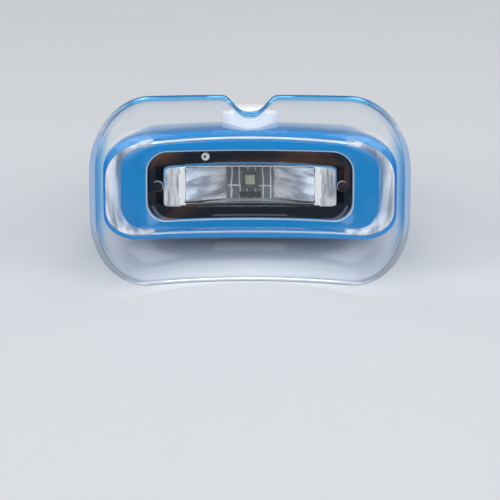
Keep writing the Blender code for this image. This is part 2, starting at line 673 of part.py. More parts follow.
def make_window():
    """The dark plate behind the window, with its posts and nub, and the hollow lens block on it."""
    half = WINDOW_WIDTH / 2
    top = WINDOW_HEIGHT / 2
    plate = window_slab("window_plate", half + PLATE_BORDER, top + PLATE_BORDER,
                        WINDOW_CORNER + PLATE_BORDER, PLATE_FRONT, PLATE_BACK, DARK_MIRROR)
    cut(plate, window_slab("plate_pocket", half + GAP, top + GAP, WINDOW_CORNER + GAP,
                           -OVERRUN, PLATE_RECESS))
    for side in (-1, 1):
        x = side * (half - POST_OFFSET)
        floor = PLATE_RECESS - bow(x)
        join(plate, peg(f"post_{side}", POST_RADIUS, floor - POST_HEIGHT, floor + PLATE_WALL / 2, x, 0))
    nub_z = (WINDOW_HEIGHT + LENS_HEIGHT) / 4
    nub_floor = PLATE_RECESS - bow(NUB_X)
    join(plate, peg("nub", NUB_RADIUS, nub_floor - NUB_RADIUS, nub_floor + PLATE_WALL / 2, -NUB_X, nub_z))
    cut(plate, peg("nub_bore", NUB_BORE_RADIUS, nub_floor - OVERRUN, nub_floor, -NUB_X, nub_z))
    cut(plate, window_slab("light_opening", LENS_CAVITY_HALF, LENS_CAVITY_TOP, LENS_CORNER,
                           -OVERRUN, PLATE_BACK + OVERRUN))
    lens_back = PLATE_RECESS - GAP
    lens_front = lens_back - LENS_RISE
    stations = outline(LENS_WIDTH / 2, LENS_HEIGHT / 2, LENS_HEIGHT / 2, LENS_CORNER, LENS_CORNER,
                       LENS_CORNER, LENS_CROWN)
    lens = slab("lens_cover", stations, lens_front, lens_back, HEAD, CLEAR)
    cut(lens, window_slab("lens_cavity", LENS_CAVITY_HALF, LENS_CAVITY_TOP, LENS_CORNER,
                          lens_front + LENS_WALL, lens_back + OVERRUN))


def make_light_unit():
    """The tray behind the plate, its two slanted reflectors and the light emitter on its board."""
    inner_half = LENS_CAVITY_HALF + GAP
    inner_top = LENS_CAVITY_TOP + GAP
    inner_corner = LENS_CORNER + GAP
    outer_corner = inner_corner + TRAY_WALL
    outer = outline(inner_half + TRAY_WALL, inner_top + TRAY_WALL, inner_top + TRAY_WALL, outer_corner,
                    outer_corner, outer_corner)
    inner = outline(inner_half, inner_top, inner_top, inner_corner, inner_corner, inner_corner)
    tray = slab("lamp_tray", outer, PLATE_BACK + GAP, TRAY_DEPTH, HEAD, GREY_TRAY, back_bow_share=0.0)
    cut(tray, slab("tray_hollow", inner, -OVERRUN, TRAY_FLOOR, HEAD, None, back_bow_share=0.0))
    for side in (-1, 1):
        cut(tray, peg(f"wire_hole_{side}", WIRE_RADIUS + GAP, TRAY_FLOOR - OVERRUN, TRAY_DEPTH + OVERRUN,
                      side * WIRE_SPACING / 2, LED_WIRE_Z))
    half_height = LENS_CAVITY_TOP - GAP
    near = LED_BOARD_WIDTH / 2 + GAP
    far = LENS_CAVITY_HALF - LENS_CORNER
    rise = LENS_RISE_LINE - bow(far)
    profile = [(near, LED_BOARD_BACK - REFLECTOR_THICKNESS), (far, rise),
               (far, rise + REFLECTOR_THICKNESS), (near, LED_BOARD_BACK)]
    for name, side in (("reflector_left", -1), ("reflector_right", 1)):
        rings = [[Vector((side * x, y, z)) for x, y in profile] for z in (-half_height, half_height)]
        loft(name, rings, HEAD, SILVER)
    box("led_board", (-LED_BOARD_WIDTH / 2, LED_BOARD_FRONT, -half_height),
        (LED_BOARD_WIDTH / 2, LED_BOARD_BACK, half_height), HEAD, BOARD_GREEN)
    emitter_back = LED_BOARD_FRONT - GAP
    spare = 2 * half_height - EMITTER_SIZE - RESISTOR_HEIGHT
    make_emitter(emitter_back, half_height - spare * EMITTER_MARGIN_SHARE - EMITTER_SIZE / 2)
    resistor_low = spare * RESISTOR_MARGIN_SHARE - half_height
    box("led_resistor", (-RESISTOR_WIDTH / 2, emitter_back - RESISTOR_THICKNESS, resistor_low),
        (RESISTOR_WIDTH / 2, emitter_back, resistor_low + RESISTOR_HEIGHT), HEAD, CHIP_BLACK)


def make_emitter(back, z):
    """A square light emitter with a low dome."""
    half = EMITTER_SIZE / 2
    front = back - EMITTER_THICKNESS
    emitter = box("led_emitter", (-half, front, z - half), (half, back, z + half), HEAD, EMITTER_YELLOW)
    quarter = [math.pi / 2 * i / CORNER_STEPS for i in range(CORNER_STEPS + 1)]
    profile = [(EMITTER_DOME_RADIUS * math.sin(a), EMITTER_DOME_HEIGHT * math.cos(a)) for a in quarter]
    profile += [(EMITTER_DOME_RADIUS, -EMITTER_THICKNESS / 2), (0, -EMITTER_THICKNESS / 2)]
    dome = turned("emitter_dome", profile, HEAD)
    dome.location = (0, front, z)
    dome.rotation_euler = (math.pi / 2, 0, 0)
    join(emitter, dome)


def make_board():
    """The main board with its switch, plunger and packages."""
    board = box("main_board", (-BOARD_WIDTH / 2, BOARD_FRONT_Y, BOARD_HEIGHT),
                (BOARD_WIDTH / 2, BOARD_FRONT_Y + BOARD_LENGTH, BOARD_TOP), HEAD, BOARD_GREEN)
    for side in (-1, 1):
        cut(board, cylinder(f"board_hole_{side}", HOLE_RADIUS, BOARD_HEIGHT - OVERRUN, BOARD_TOP + OVERRUN,
                            HEAD, x=side * BOARD_SCREW_X, y=BUTTON_Y))
    base = BOARD_TOP + GAP
    half = SWITCH_SIZE / 2
    top = base + SWITCH_HEIGHT
    switch = box("tact_switch", (-half, BUTTON_Y - half, base), (half, BUTTON_Y + half, top), HEAD,
                 CHIP_BLACK)
    bore_floor = base + PLUNGER_FLOOR
    cut(switch, cylinder("switch_bore", PLUNGER_RADIUS + GAP, bore_floor, top + OVERRUN, HEAD, y=BUTTON_Y))
    cylinder("tact_plunger", PLUNGER_RADIUS, bore_floor + BUTTON_TRAVEL + GAP, PLUNGER_TOP, HEAD,
             BUTTON_WHITE, y=BUTTON_Y)
    side_x = BOARD_WIDTH / 2 - COMPONENT_INSET - CHIP_LENGTH / 2
    front_y = BOARD_FRONT_Y + COMPONENT_INSET
    back_y = BOARD_FRONT_Y + BOARD_LENGTH - COMPONENT_INSET
    box("controller_ic", (-side_x - CHIP_LENGTH / 2, front_y - CHIP_WIDTH / 2, base),
        (-side_x + CHIP_LENGTH / 2, front_y + CHIP_WIDTH / 2, base + CHIP_HEIGHT), HEAD, CHIP_BLACK)
    half = INDUCTOR_SIZE / 2
    box("boost_inductor", (side_x - half, front_y - half, base),
        (side_x + half, front_y + half, base + INDUCTOR_HEIGHT), HEAD, CHIP_BLACK,
        bevel=INDUCTOR_SIZE * INDUCTOR_EDGE_SHARE)
    cylinder("filter_capacitor", CAPACITOR_RADIUS, base, base + CAPACITOR_HEIGHT, HEAD, STEEL,
             x=side_x, y=back_y)


def make_button():
    """The oval power button: crowned cap, flange under the casing's top and a stem to the switch."""
    half = BUTTON_WIDTH / 2
    stem_bottom = PLUNGER_TOP + GAP
    flange_bottom = FLANGE_TOP - BUTTON_FLANGE
    crown = BUTTON_EDGE * BUTTON_CROWN_SHARE
    profile = [(0, BUTTON_TOP), (half * BUTTON_FLAT_SHARE, BUTTON_TOP - crown)]
    for i in range(CORNER_STEPS + 1):
        turn = math.pi / 2 * i / CORNER_STEPS
        profile.append((half - BUTTON_EDGE * (1 - math.sin(turn)),
                        BUTTON_TOP - 2 * crown - BUTTON_EDGE * (1 - math.cos(turn))))
    flange = half + BUTTON_FLANGE
    profile += [(half, FLANGE_TOP), (flange, FLANGE_TOP), (flange, flange_bottom),
                (BUTTON_STEM_RADIUS, flange_bottom), (BUTTON_STEM_RADIUS, stem_bottom), (0, stem_bottom)]
    button = turned("power_button", profile, HEAD, BUTTON_WHITE, sides=2 * ROUND_SIDES)
    button.location = (0, BUTTON_Y, 0)
    button.scale = (1, BUTTON_LENGTH / BUTTON_WIDTH, 1)


def make_batteries():
    """Two cells side by side, each pushed on to its fixed contact by a spring."""
    half = CELL_LENGTH / 2
    shoulder = half - CELL_NUB_HEIGHT
    edge = CELL_RADIUS - CELL_EDGE
    profile = [(0, half), (CELL_NUB_RADIUS, half), (CELL_NUB_RADIUS, shoulder), (edge, shoulder),
               (CELL_RADIUS, shoulder - CELL_EDGE), (CELL_RADIUS, CELL_EDGE - half), (edge, -half),
               (0, -half)]
    for name, y, side in (("battery_front", FRONT_CELL_Y, 1), ("battery_rear", REAR_CELL_Y, -1)):
        cell = turned(name, profile, BASE, CELL_JACKET)
        cell.location = (side * CELL_SHIFT, y, CELL_Z)
        cell.rotation_euler = (0, side * math.pi / 2, 0)
    make_springs()
    low = CELL_Z - CONTACT_HEIGHT / 2
    high = CELL_Z + CONTACT_HEIGHT / 2
    spans = (("contact_link", -1, FRONT_CELL_Y, REAR_CELL_Y),
             ("contact_positive", 1, FRONT_CELL_Y, FRONT_CELL_Y),
             ("contact_negative", 1, REAR_CELL_Y, REAR_CELL_Y))
    for name, side, near, far in spans:
        ends = sorted((side * CONTACT_INNER_X, side * (CONTACT_INNER_X + CONTACT_THICKNESS)))
        box(name, (ends[0], near - CONTACT_WIDTH / 2, low), (ends[1], far + CONTACT_WIDTH / 2, high),
            BASE, STEEL)


def make_springs():
    """Tapered coil springs between each cell's flat end and its contact."""
    rise = SPRING_LENGTH - 2 * SPRING_WIRE_RADIUS
    count = SPRING_TURNS * SPRING_POINTS
    coil = []
    for i in range(count + 1):
        turn = 2 * math.pi * i / SPRING_POINTS
        spread = SPRING_LARGE_RADIUS + (SPRING_SMALL_RADIUS - SPRING_LARGE_RADIUS) * i / count
        coil.append((SPRING_WIRE_RADIUS + rise * i / count, spread * math.cos(turn), spread * math.sin(turn)))
    start = CONTACT_INNER_X - GAP
    for name, y, side in (("spring_front", FRONT_CELL_Y, -1), ("spring_rear", REAR_CELL_Y, 1)):
        points = [(side * (start - along), y + across, CELL_Z + up) for along, across, up in coil]
        wire(name, points, BASE, STEEL, SPRING_WIRE_RADIUS)


def make_wires():
    """Two wires from the light unit to the main board, and two from the cell contacts."""
    board_y = BOARD_FRONT_Y - GAP
    board_z = BOARD_HEIGHT + BOARD_THICKNESS / 2
    for name, side, finish in (("led_wire_red", 1, WIRE_RED), ("led_wire_black", -1, WIRE_BLACK)):
        x = side * WIRE_SPACING / 2
        route = [(x, LED_BOARD_BACK + GAP, LED_WIRE_Z), (x, TRAY_DEPTH, LED_WIRE_Z),
                 (x, board_y - WIRE_END, board_z), (x, board_y, board_z)]
        wire(name, smooth_path(route), HEAD, finish)
    contact_top = CELL_Z + CONTACT_HEIGHT / 2 + GAP
    contact_x = CONTACT_INNER_X + CONTACT_THICKNESS / 2
    edge_x = BOARD_WIDTH / 2 + GAP
    for name, cell_y, finish in (("battery_wire_red", FRONT_CELL_Y, WIRE_RED),
                                 ("battery_wire_black", REAR_CELL_Y, WIRE_BLACK)):
        y, low = to_head(cell_y, contact_top)
        route = [(contact_x, y, low), (contact_x, y, (low + board_z) / 2),
                 (contact_x, y, board_z - WIRE_SPACING / 2), (edge_x + WIRE_END, y, board_z),
                 (edge_x, y, board_z)]
        wire(name, smooth_path(route), HEAD, finish)


def screw(name, x, y, seat, shank):
    """A pan head under its seat, with a straight shank going up."""
    flat = SCREW_HEAD_RADIUS * SCREW_HEAD_EDGE_SHARE
    profile = [(0, shank), (SCREW_RADIUS, shank), (SCREW_RADIUS, 0), (SCREW_HEAD_RADIUS, 0),
               (SCREW_HEAD_RADIUS, -SCREW_HEAD_HEIGHT * SCREW_HEAD_EDGE_SHARE), (flat, -SCREW_HEAD_HEIGHT),
               (0, -SCREW_HEAD_HEIGHT)]
    turned(name, profile, HEAD, STEEL, sides=ROUND_SIDES // 2).location = (x, y, seat)


def make_screws():
    """Four screws through the casing and two through the main board."""
    seat = SCREW_SEAT_Z - GAP
    for i, (x, y) in enumerate(SCREW_PLACES, 1):
        screw(f"case_screw_{i}", x, y, seat, SCREW_GRIP - seat)
    seat = BOARD_HEIGHT - GAP
    for i, side in enumerate((-1, 1), 1):
        screw(f"board_screw_{i}", side * BOARD_SCREW_X, BUTTON_Y, seat, BOARD_TOP + SCREW_GRIP - seat)


def settle():
    """Stand the lamp on z = 0 with its overall box centred on the origin in X and Y."""
    depths = [to_base(vert.co.y, vert.co.z)[0] for name in ("face_shield", "upper_casing")
              for vert in bpy.data.objects[name].data.vertices]
    ROOT.location = (0, -(min(depths) + max(depths)) / 2, -FLOOR_Z)


make_casings()
make_door()
make_shield()
make_window()
make_light_unit()
make_board()
make_button()
make_batteries()
make_wires()
make_screws()
settle()
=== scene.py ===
"""Teeth whitening lamp, dressed on its CAD frame, with its stage, light and camera.

Lengths are in metres. The head frame has its origin at the middle of the casing's face: X across,
Y to the tail, Z up. The lamp rests tipped back by REST_ANGLE, so pieces are made in the head frame
and then turned on to the floor.
"""

import math
from contextlib import contextmanager

import bmesh
import bpy
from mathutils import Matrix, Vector


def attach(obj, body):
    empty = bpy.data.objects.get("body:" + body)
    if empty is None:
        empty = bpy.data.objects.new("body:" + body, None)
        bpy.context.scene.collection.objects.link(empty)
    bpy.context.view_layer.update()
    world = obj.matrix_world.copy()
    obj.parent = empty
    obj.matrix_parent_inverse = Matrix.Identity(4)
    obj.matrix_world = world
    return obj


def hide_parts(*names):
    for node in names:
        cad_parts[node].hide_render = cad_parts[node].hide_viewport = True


bl_info = {
    "name": "Teeth Whitening Lamp",
    "version": (1, 0, 0),
    "blender": (4, 5, 0),
    "location": "3D View > Sidebar > Lamp",
    "description": "Dresses the teeth whitening lamp's CAD frame and sets its stage",
    "category": "Object",
}

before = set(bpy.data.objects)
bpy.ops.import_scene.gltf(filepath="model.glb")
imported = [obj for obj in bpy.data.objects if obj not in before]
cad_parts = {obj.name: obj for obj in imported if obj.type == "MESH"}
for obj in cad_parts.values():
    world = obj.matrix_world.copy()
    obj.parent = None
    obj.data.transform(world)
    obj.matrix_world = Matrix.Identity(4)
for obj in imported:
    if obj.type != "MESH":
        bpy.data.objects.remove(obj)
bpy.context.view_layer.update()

# A millimetre, how near counts as the same place, and how straight a face looks along an axis
MM = 0.001
NEAR = 0.01 * MM
FACING = 0.9

# The head frame's tilt and place on the floor
REST_ANGLE = math.radians(17.015705)
REST_COS = math.cos(REST_ANGLE)
REST_SIN = math.sin(REST_ANGLE)
HEAD_ORIGIN = Vector((0.0, -6.4821, 22.5165)) * MM

# Points in an outline, steps of round forms, and how sharp an edge stays unsmoothed
CORNER_POINTS = 9
FLAT_CUTS = 47
SIDE_CUTS = 4
STACK_STEP = 20.0 * MM
BOWL_STEPS = 8
ROUND_SIDES = 96
POST_SIDES = 48
PEG_SIDES = 40
SMOOTH_ANGLE = math.radians(32)
WIDE_SMOOTH_ANGLE = math.radians(60)

# Finishes: the acrylic's refraction, how far roughness varies, and the light board's tracks
ACRYLIC_IOR = 1.3
STREAKED_IOR = 1.4
ROUGHNESS_SPREAD = 0.2
COAT_ROUGHNESS = 0.04
BUMP_HEIGHT = 0.05 * MM
TRACK_WANDER = 1.6 * MM
TRACK_WIDTH = 0.25 * MM
TRACK_SPACING = 2.3 * MM
TRACK_ROW = 6.0 * MM

# Where the painted reflection of the casing's blue in clear acrylic is none and where it is full, as
# heights over the floor and as distances off the middle
WALL_PAINTED_BLUE_HEIGHTS = (10.0 * MM, 24.0 * MM)
WALL_PAINTED_BLUE_DISTANCES = (38.5 * MM, 41.5 * MM)
LIP_PAINTED_BLUE_HEIGHTS = (30.0 * MM, 44.0 * MM)
LIP_PAINTED_BLUE_DISTANCES = (40.0 * MM, 32.0 * MM)

# Camera, with its elevation in degrees and its lens and sensor in millimetres
AIM = Vector((0.0, -0.0174, 0.0070))
CAMERA_ELEVATION = 25.3
CAMERA_DISTANCE = 0.4545
CAMERA_LENS = 115.0
CAMERA_SENSOR = 36.0
CAMERA_CLIP = 0.01

# Floor with a wall behind it, and the studio's own light
FLOOR_SIZE = 8.0
WALL_HEIGHT = 4.0
SWEEP_RADIUS = 0.6
SWEEP_STEPS = 16
WORLD_COLOUR = (0.85, 0.87, 0.90)
WORLD_LIGHT = 0.5
WORLD_SEEN = 0.7

# Studio lamps: name, place, width and height, power
STUDIO_LAMPS = (
    ("lamp_top", (0.0, 0.10, 0.75), (0.9, 0.6), 2.8),
    ("lamp_left", (-0.65, -0.25, 0.35), (0.3, 0.6), 1.8),
    ("lamp_right", (0.65, -0.25, 0.35), (0.3, 0.6), 1.8),
    ("lamp_front", (0.0, -0.80, 0.55), (0.7, 0.3), 1.6),
)

# Colours of small shown parts
# Streaks in clear acrylic: the bright shade is a painted highlight
STREAK_DARK = (0.36, 0.40, 0.46)
STREAK_HIGHLIGHT = (0.96, 0.97, 1.0)
# Painted highlight: pale edges of the window plate and its posts
PLATE_EDGE_HIGHLIGHT = (0.34, 0.38, 0.44)
NUB_WHITE = (0.75, 0.75, 0.76)
SILVER_DULL = (0.42, 0.42, 0.46)
SILVER_BRIGHT = (1.0, 1.0, 1.0)
BOARD_DARK = (0.075, 0.077, 0.09)
BOARD_PALE = (0.62, 0.63, 0.66)
EMITTER_RESIN = (0.10, 0.105, 0.09)
PHOSPHOR = (0.42, 0.42, 0.34)
DOME_TINT = (0.95, 0.96, 0.93)

# Inner parts: plated steel, and plastics as name, colour, roughness, coat, mottle and nodes
STEEL = (0.58, 0.58, 0.57)
STEEL_NODES = ("filter_capacitor", "contact_link", "contact_positive", "contact_negative", "spring_front",
               "spring_rear", "case_screw_1", "case_screw_2", "case_screw_3", "case_screw_4",
               "board_screw_1", "board_screw_2")
INNER_PLASTICS = (
    ("board_green_mask", (0.02, 0.16, 0.06), 0.4, 0.0, 0.2, ("main_board",)),
    ("package_black", (0.02, 0.02, 0.022), 0.5, 0.0, 0.2,
     ("led_resistor", "controller_ic", "boost_inductor", "tact_switch")),
    ("cell_sleeve", (0.09, 0.10, 0.11), 0.3, 0.3, 0.1, ("battery_front", "battery_rear")),
    ("tray_grey_satin", (0.66, 0.67, 0.70), 0.4, 0.0, 0.05, ("lamp_tray",)),
    ("plunger_white", (0.80, 0.80, 0.80), 0.4, 0.0, 0.05, ("tact_plunger",)),
    ("wire_red_sleeve", (0.55, 0.02, 0.02), 0.4, 0.0, 0.05, ("led_wire_red", "battery_wire_red")),
    ("wire_black_sleeve", (0.02, 0.02, 0.02), 0.4, 0.0, 0.05, ("led_wire_black", "battery_wire_black")),
)

# Casing cross sections, as in the CAD source: place along the casing, bow left, width, top, bottom,
# corner width and corner height, each a share of the size that it follows
CASING_SECTION_SHARES = (
    (0.00, 1.00, 1.000, 1.00, 1.00, 0.22, 0.62),
    (0.12, 0.86, 1.015, 1.06, 1.06, 0.25, 0.64),
    (0.28, 0.62, 1.005, 1.11, 1.12, 0.30, 0.66),
    (0.48, 0.34, 0.970, 1.14, 1.16, 0.30, 0.66),
    (0.70, 0.12, 0.885, 1.12, 1.18, 0.34, 0.68),
    (0.86, 0.03, 0.765, 1.04, 0.96, 0.46, 0.76),
    (0.96, 0.00, 0.550, 0.72, 0.50, 0.72, 0.86),
    (1.00, 0.00, 0.360, 0.42, 0.28, 0.90, 0.95),
)

# The casing's face, which the shield, plate and lens follow, and its soft edge
FACE_HALF = 41.0 * MM
FACE_TOP = 15.5 * MM
FACE_BOW = 18.3 * MM
FACE_RADIUS = (FACE_HALF ** 2 + FACE_BOW ** 2) / (2 * FACE_BOW)
FACE_CROWN = 1.5 * MM
CASING_EDGE = 0.7 * MM
WINDOW_CORNER = 5.5 * MM

# Line seen between the casing halves, narrower than their gap
SEAM = 0.16 * MM

# Shield's corners, margins and roundness
RIM_CORNER_WIDTH = 15.5 * MM
RIM_TOP_CORNER = 19.6 * MM
RIM_BOTTOM_CORNER = 20.7 * MM
SHIELD_OVERHANG = 1.1 * MM
SHIELD_MARGIN = 2.0 * MM
RING_BORDER = 1.2 * MM
RING_LOWER_BORDER = 2.1 * MM
RING_INSET = 5.6 * MM
RING_FLARE = 4.0 * MM
RING_RISE = 3.0 * MM
RING_CORNER_WIDTH = 8.5 * MM
RING_CORNER_HEIGHT = 9.5 * MM
RING_SIDE_RISE_SHARE = 0.43
RIM_EDGE_SHARE = 0.15
NOTCH_ROUNDNESS = 1.5

# Window plate, with its posts and its nub
PLATE_WALL = 1.5 * MM
PLATE_BORDER = 2.0 * MM
POST_OFFSET = 2.7 * MM
POST_RADIUS = 1.6 * MM
POST_HEIGHT = 0.6 * MM
POST_EDGE = 0.25 * MM
NUB_OFFSET = 12.8 * MM
NUB_RADIUS = 1.2 * MM
NUB_HEIGHT = 1.2 * MM
NUB_BORE_RADIUS = 0.45 * MM
NUB_EDGE = 0.4 * MM
PLATE_BEND = 0.5 * MM
SUNK = 0.5 * MM

# Lens block
LENS_CROWN = 0.8 * MM
LENS_CORNER = 1.6 * MM
LENS_EDGE = 0.35 * MM
LENS_RISE = 2.7 * MM
LENS_WALL = 1.2 * MM
LENS_END = 4.4 * MM

# Light emitter, from the face's middle
EMITTER_SIZE = 5.3 * MM
EMITTER_Z = 0.8 * MM
EMITTER_FRONT = 7.5 * MM
EMITTER_THICKNESS = 1.2 * MM
EMITTER_EDGE = 0.15 * MM
EMITTER_RIM = 0.45 * MM
EMITTER_STEP = 0.2 * MM
CHIP_SIZE = 2.6 * MM
CHIP_THICKNESS = 0.3 * MM
DOME_RADIUS = 2.2 * MM
DOME_HEIGHT = 1.21 * MM

# Power button and its hole, in the head frame
BUTTON_Y = 23.5 * MM
BUTTON_TOP = 21.67 * MM
BUTTON_EDGE = 1.1 * MM
BUTTON_CROWN = 0.35 * MM
FLANGE_WIDTH = 1.2 * MM
FLANGE_TOP = 14.27 * MM
STEM_RADIUS = 2.2 * MM
STEM_BOTTOM = 11.8 * MM
CROWN_STEPS = (0.25, 0.4, 0.6)
CROWN_INSET_SHARE = 0.3
HOLE_LOW = 12.0 * MM
HOLE_HIGH = 30.0 * MM

# Feet and flat underside, level with the floor, from the casing's face
TAIL_REST_Y = 41.0 * MM
TAIL_REST_DROP = 11.0 * MM
REST_Y = TAIL_REST_Y * REST_COS - TAIL_REST_DROP * REST_SIN
FLOOR_Z = -HEAD_ORIGIN.z
FOOT_HEIGHT = 1.0 * MM
FOOT_X = (28.3 * MM, 31.9 * MM)
FOOT_SETBACK = 9.5 * MM
FOOT_LENGTH = 6.5 * MM
FOOT_BACK_Y = REST_Y - FOOT_SETBACK
BELLY_Z = FLOOR_Z + FOOT_HEIGHT

# Battery bay and its door, level with the floor too
BAY_SETBACK = 2.95 * MM
BAY_LENGTH = 22.2 * MM
BAY_BACK_Y = REST_Y - BAY_SETBACK
BAY_FRONT_Y = BAY_BACK_Y - BAY_LENGTH
BAY_HALF = 24.8 * MM
BAY_FRAME_HALF = 28.6 * MM
BAY_HEIGHT = 10.0 * MM
BAY_WALL = 1.5 * MM
DOOR_HALF = 26.1 * MM
DOOR_LEDGE = 1.3 * MM
DOOR_FRONT_Y = BAY_FRONT_Y - DOOR_LEDGE
DOOR_THICKNESS = 2.2 * MM
TONGUE_HALF = 27.1 * MM
TONGUE_THICKNESS = 0.6 * MM
TONGUE_LOW = BELLY_Z + (DOOR_THICKNESS - TONGUE_THICKNESS) / 2
TONGUE_HIGH = TONGUE_LOW + TONGUE_THICKNESS
RIB_COUNT = 3
RIB_HALF = 6.0 * MM
RIB_THICKNESS = 0.8 * MM
RIB_HEIGHT = 0.45 * MM
RIB_PITCH = 2.2 * MM

# Screws that join the casing halves, and how far cuts run past what they cut
SCREW_PLACES = ((33.0 * MM, 5.5 * MM), (31.0 * MM, 20.0 * MM))
SCREW_SEAT_Z = -10.5 * MM
BOSS_RADIUS = 3.3 * MM
COUNTERBORE_RADIUS = 2.4 * MM
BEYOND = 8.0 * MM
BELOW_Z = -30.0 * MM


def length(name, description, millimetres):
    """A length property in metres."""
    return bpy.props.FloatProperty(name=name, description=description, default=millimetres * MM,
                                   min=0.0, unit="LENGTH", precision=5)


def colour(name, description, default):
    """A colour property."""
    return bpy.props.FloatVectorProperty(name=name, description=description, default=default,
                                         size=3, min=0.0, max=1.0, subtype="COLOR")


class LampSizes(bpy.types.PropertyGroup):
    """Main sizes of the shown pieces, which agree with the CAD model."""

    gap: length("Gap", "Space between touching pieces", 0.3)
    shield_height: length("Shield height", "Over the clear shield's rim", 52.8)
    shield_wall: length("Shield wall", "Thickness of the clear moulding", 1.5)
    shield_reach: length("Shield reach", "How far the rim stands ahead of the face", 11.0)
    notch_half_width: length("Notch half width", "Half of the nose notch's width", 7.2)
    notch_depth: length("Notch depth", "Depth of the nose notch", 4.8)
    casing_wall: length("Casing wall", "Thickness of the casing", 1.8)
    casing_length: length("Casing length", "Depth of the casing", 46.0)
    window_width: length("Window width", "Width of the light window", 58.0)
    window_height: length("Window height", "Height of the light window", 19.4)
    plate_recess: length("Plate recess", "How deep the dark plate lies", 3.0)
    lens_width: length("Lens width", "Width of the clear lens block", 49.0)
    lens_height: length("Lens height", "Height of the clear lens block", 12.8)
    button_width: length("Button width", "Width of the power button", 17.0)
    button_length: length("Button length", "Length of the power button", 20.0)


class LampLooks(bpy.types.PropertyGroup):
    """Main colours of the shown pieces."""

    casing_blue: colour("Casing blue", "Glossy casing", (0.0, 0.20, 0.50))
    # Painted highlight: a pale line painted round the window's edge on the blue casing
    window_edge_highlight: colour("Window edge", "Pale line round the window", (0.42, 0.52, 0.62))
    clear_tint: colour("Clear tint", "Clear shield and lens", (0.94, 0.97, 1.0))
    lip_tint: colour("Lip tint", "Rounded lip of the shield", (0.74, 0.84, 0.96))
    # Painted reflection: the casing's blue, painted into the colour of the shield's edge and walls and the
    # lens's upper edge
    painted_edge_blue: colour("Edge blue", "Blue light that the shield's upper edge carries", (0.06, 0.40, 0.85))
    painted_side_blue: colour("Side blue", "Blue light that the shield's side walls carry", (0.22, 0.58, 0.92))
    plate_dark: colour("Plate", "Dark mirror-like plate", (0.0209, 0.0266, 0.038))
    # Painted reflection: warm patches in the plate's colour stand in for reflections of brown surroundings
    plate_painted_reflection: colour("Plate, warm", "Warm patches of the dark plate", (0.12, 0.062, 0.048))
    button_white: colour("Button", "Power button", (0.90, 0.90, 0.91))
    floor: colour("Floor", "Floor and backdrop", (0.62, 0.63, 0.65))


def bow(x):
    """How far the bowed face comes forward at a distance x from the middle."""
    return FACE_RADIUS - math.sqrt(max(FACE_RADIUS ** 2 - x * x, 0.0))


def belly_line(y):
    """Height in the head frame of the casing's flat underside at a depth y."""
    return (BELLY_Z + y * REST_SIN) / REST_COS


def choose(test, kind="VERT"):
    """Selects, in edit mode, exactly the vertices, edges or faces that pass a test."""
    mesh = bpy.context.edit_object.data
    bpy.context.tool_settings.mesh_select_mode = (kind == "VERT", kind == "EDGE", kind == "FACE")
    shape = bmesh.from_edit_mesh(mesh)
    for group in (shape.verts, shape.edges, shape.faces):
        group.ensure_lookup_table()
        for item in group:
            item.select_set(False)
    group = {"VERT": shape.verts, "EDGE": shape.edges, "FACE": shape.faces}[kind]
    for item in group:
        if test(item):
            item.select_set(True)
    shape.select_flush_mode()
    bmesh.update_edit_mesh(mesh)


def start(name, primitive, **options):
    """Adds a primitive as a new object with nothing else selected."""
    bpy.ops.object.select_all(action="DESELECT")
    primitive(**options)
    piece = bpy.context.object
    piece.name = name
    piece.data.name = name
    return piece


def only(piece):
    """Makes one object the active and only selected one."""
    bpy.ops.object.select_all(action="DESELECT")
    piece.select_set(True)
    bpy.context.view_layer.objects.active = piece


@contextmanager
def editing(whole=False):
    """Edit mode for the active object, with its whole mesh selected where that is asked for."""
    bpy.ops.object.mode_set(mode="EDIT")
    if whole:
        bpy.ops.mesh.select_all(action="SELECT")
    yield
    bpy.ops.object.mode_set(mode="OBJECT")


def bake():
    """Moves the active object's place, turn and scale into its mesh."""
    bpy.ops.object.transform_apply(location=True, rotation=True, scale=True)


def modify(piece, kind, **settings):
    """Adds a modifier with these settings and applies it."""
    only(piece)
    step = piece.modifiers.new(kind.lower(), kind)
    for key, value in settings.items():
        setattr(step, key, value)
    bpy.ops.object.modifier_apply(modifier=step.name)


def add_ring(ring, place, side_cuts):
    """In edit mode, adds one rounded outline to the mesh: a circle whose quarters are moved apart.

    The outlines are stacked along Y first, because bridging needs them apart.
    """
    shape = bmesh.from_edit_mesh(bpy.context.edit_object.data)
    first = len(shape.verts)
    half, top, bottom, corner, corner_top, corner_bottom, _ = ring["outline"]
    crown = ring.get("crown", 0.0)
    bpy.ops.mesh.select_all(action="DESELECT")
    bpy.ops.mesh.primitive_circle_add(vertices=4 * CORNER_POINTS, radius=1.0,
                                      rotation=(math.pi / 2, math.pi / 4 / CORNER_POINTS, 0))
    for side in (-1, 1):
        for level, reach, height in ((1, top, corner_top - crown), (-1, bottom, corner_bottom - crown)):
            choose(lambda vert: vert.index >= first and vert.co.x * side > 0 and vert.co.z * level > 0)
            bpy.ops.transform.resize(value=(corner, 1, height), center_override=(0, 0, 0))
            bpy.ops.transform.translate(
                value=(side * (half - corner), place * STACK_STEP, level * (reach - height)))
    for axis, cuts in ((0, FLAT_CUTS), (2, side_cuts)):
        if cuts:
            choose(lambda edge: all(vert.index >= first for vert in edge.verts)
                   and edge.verts[0].co[axis] * edge.verts[1].co[axis] < 0, "EDGE")
            bpy.ops.mesh.subdivide(number_cuts=cuts)
    shape = bmesh.from_edit_mesh(bpy.context.edit_object.data)
    return first, len(shape.verts)


def push(piece, axis, amounts):
    """Moves each vertex along an axis by its own amount, as a painted Displace modifier."""
    low = min(amounts)
    span = max(amounts) - low
    if span > 0:
        group = piece.vertex_groups.new(name="push")
        for index, amount in enumerate(amounts):
            group.add([index], (amount - low) / span, "REPLACE")
        modify(piece, "DISPLACE", direction=axis, mid_level=0.0, strength=span, vertex_group="push")
        piece.vertex_groups.clear()
    only(piece)
    with editing(whole=True):
        bpy.ops.transform.translate(value=[low if name == axis else 0.0 for name in "XYZ"])


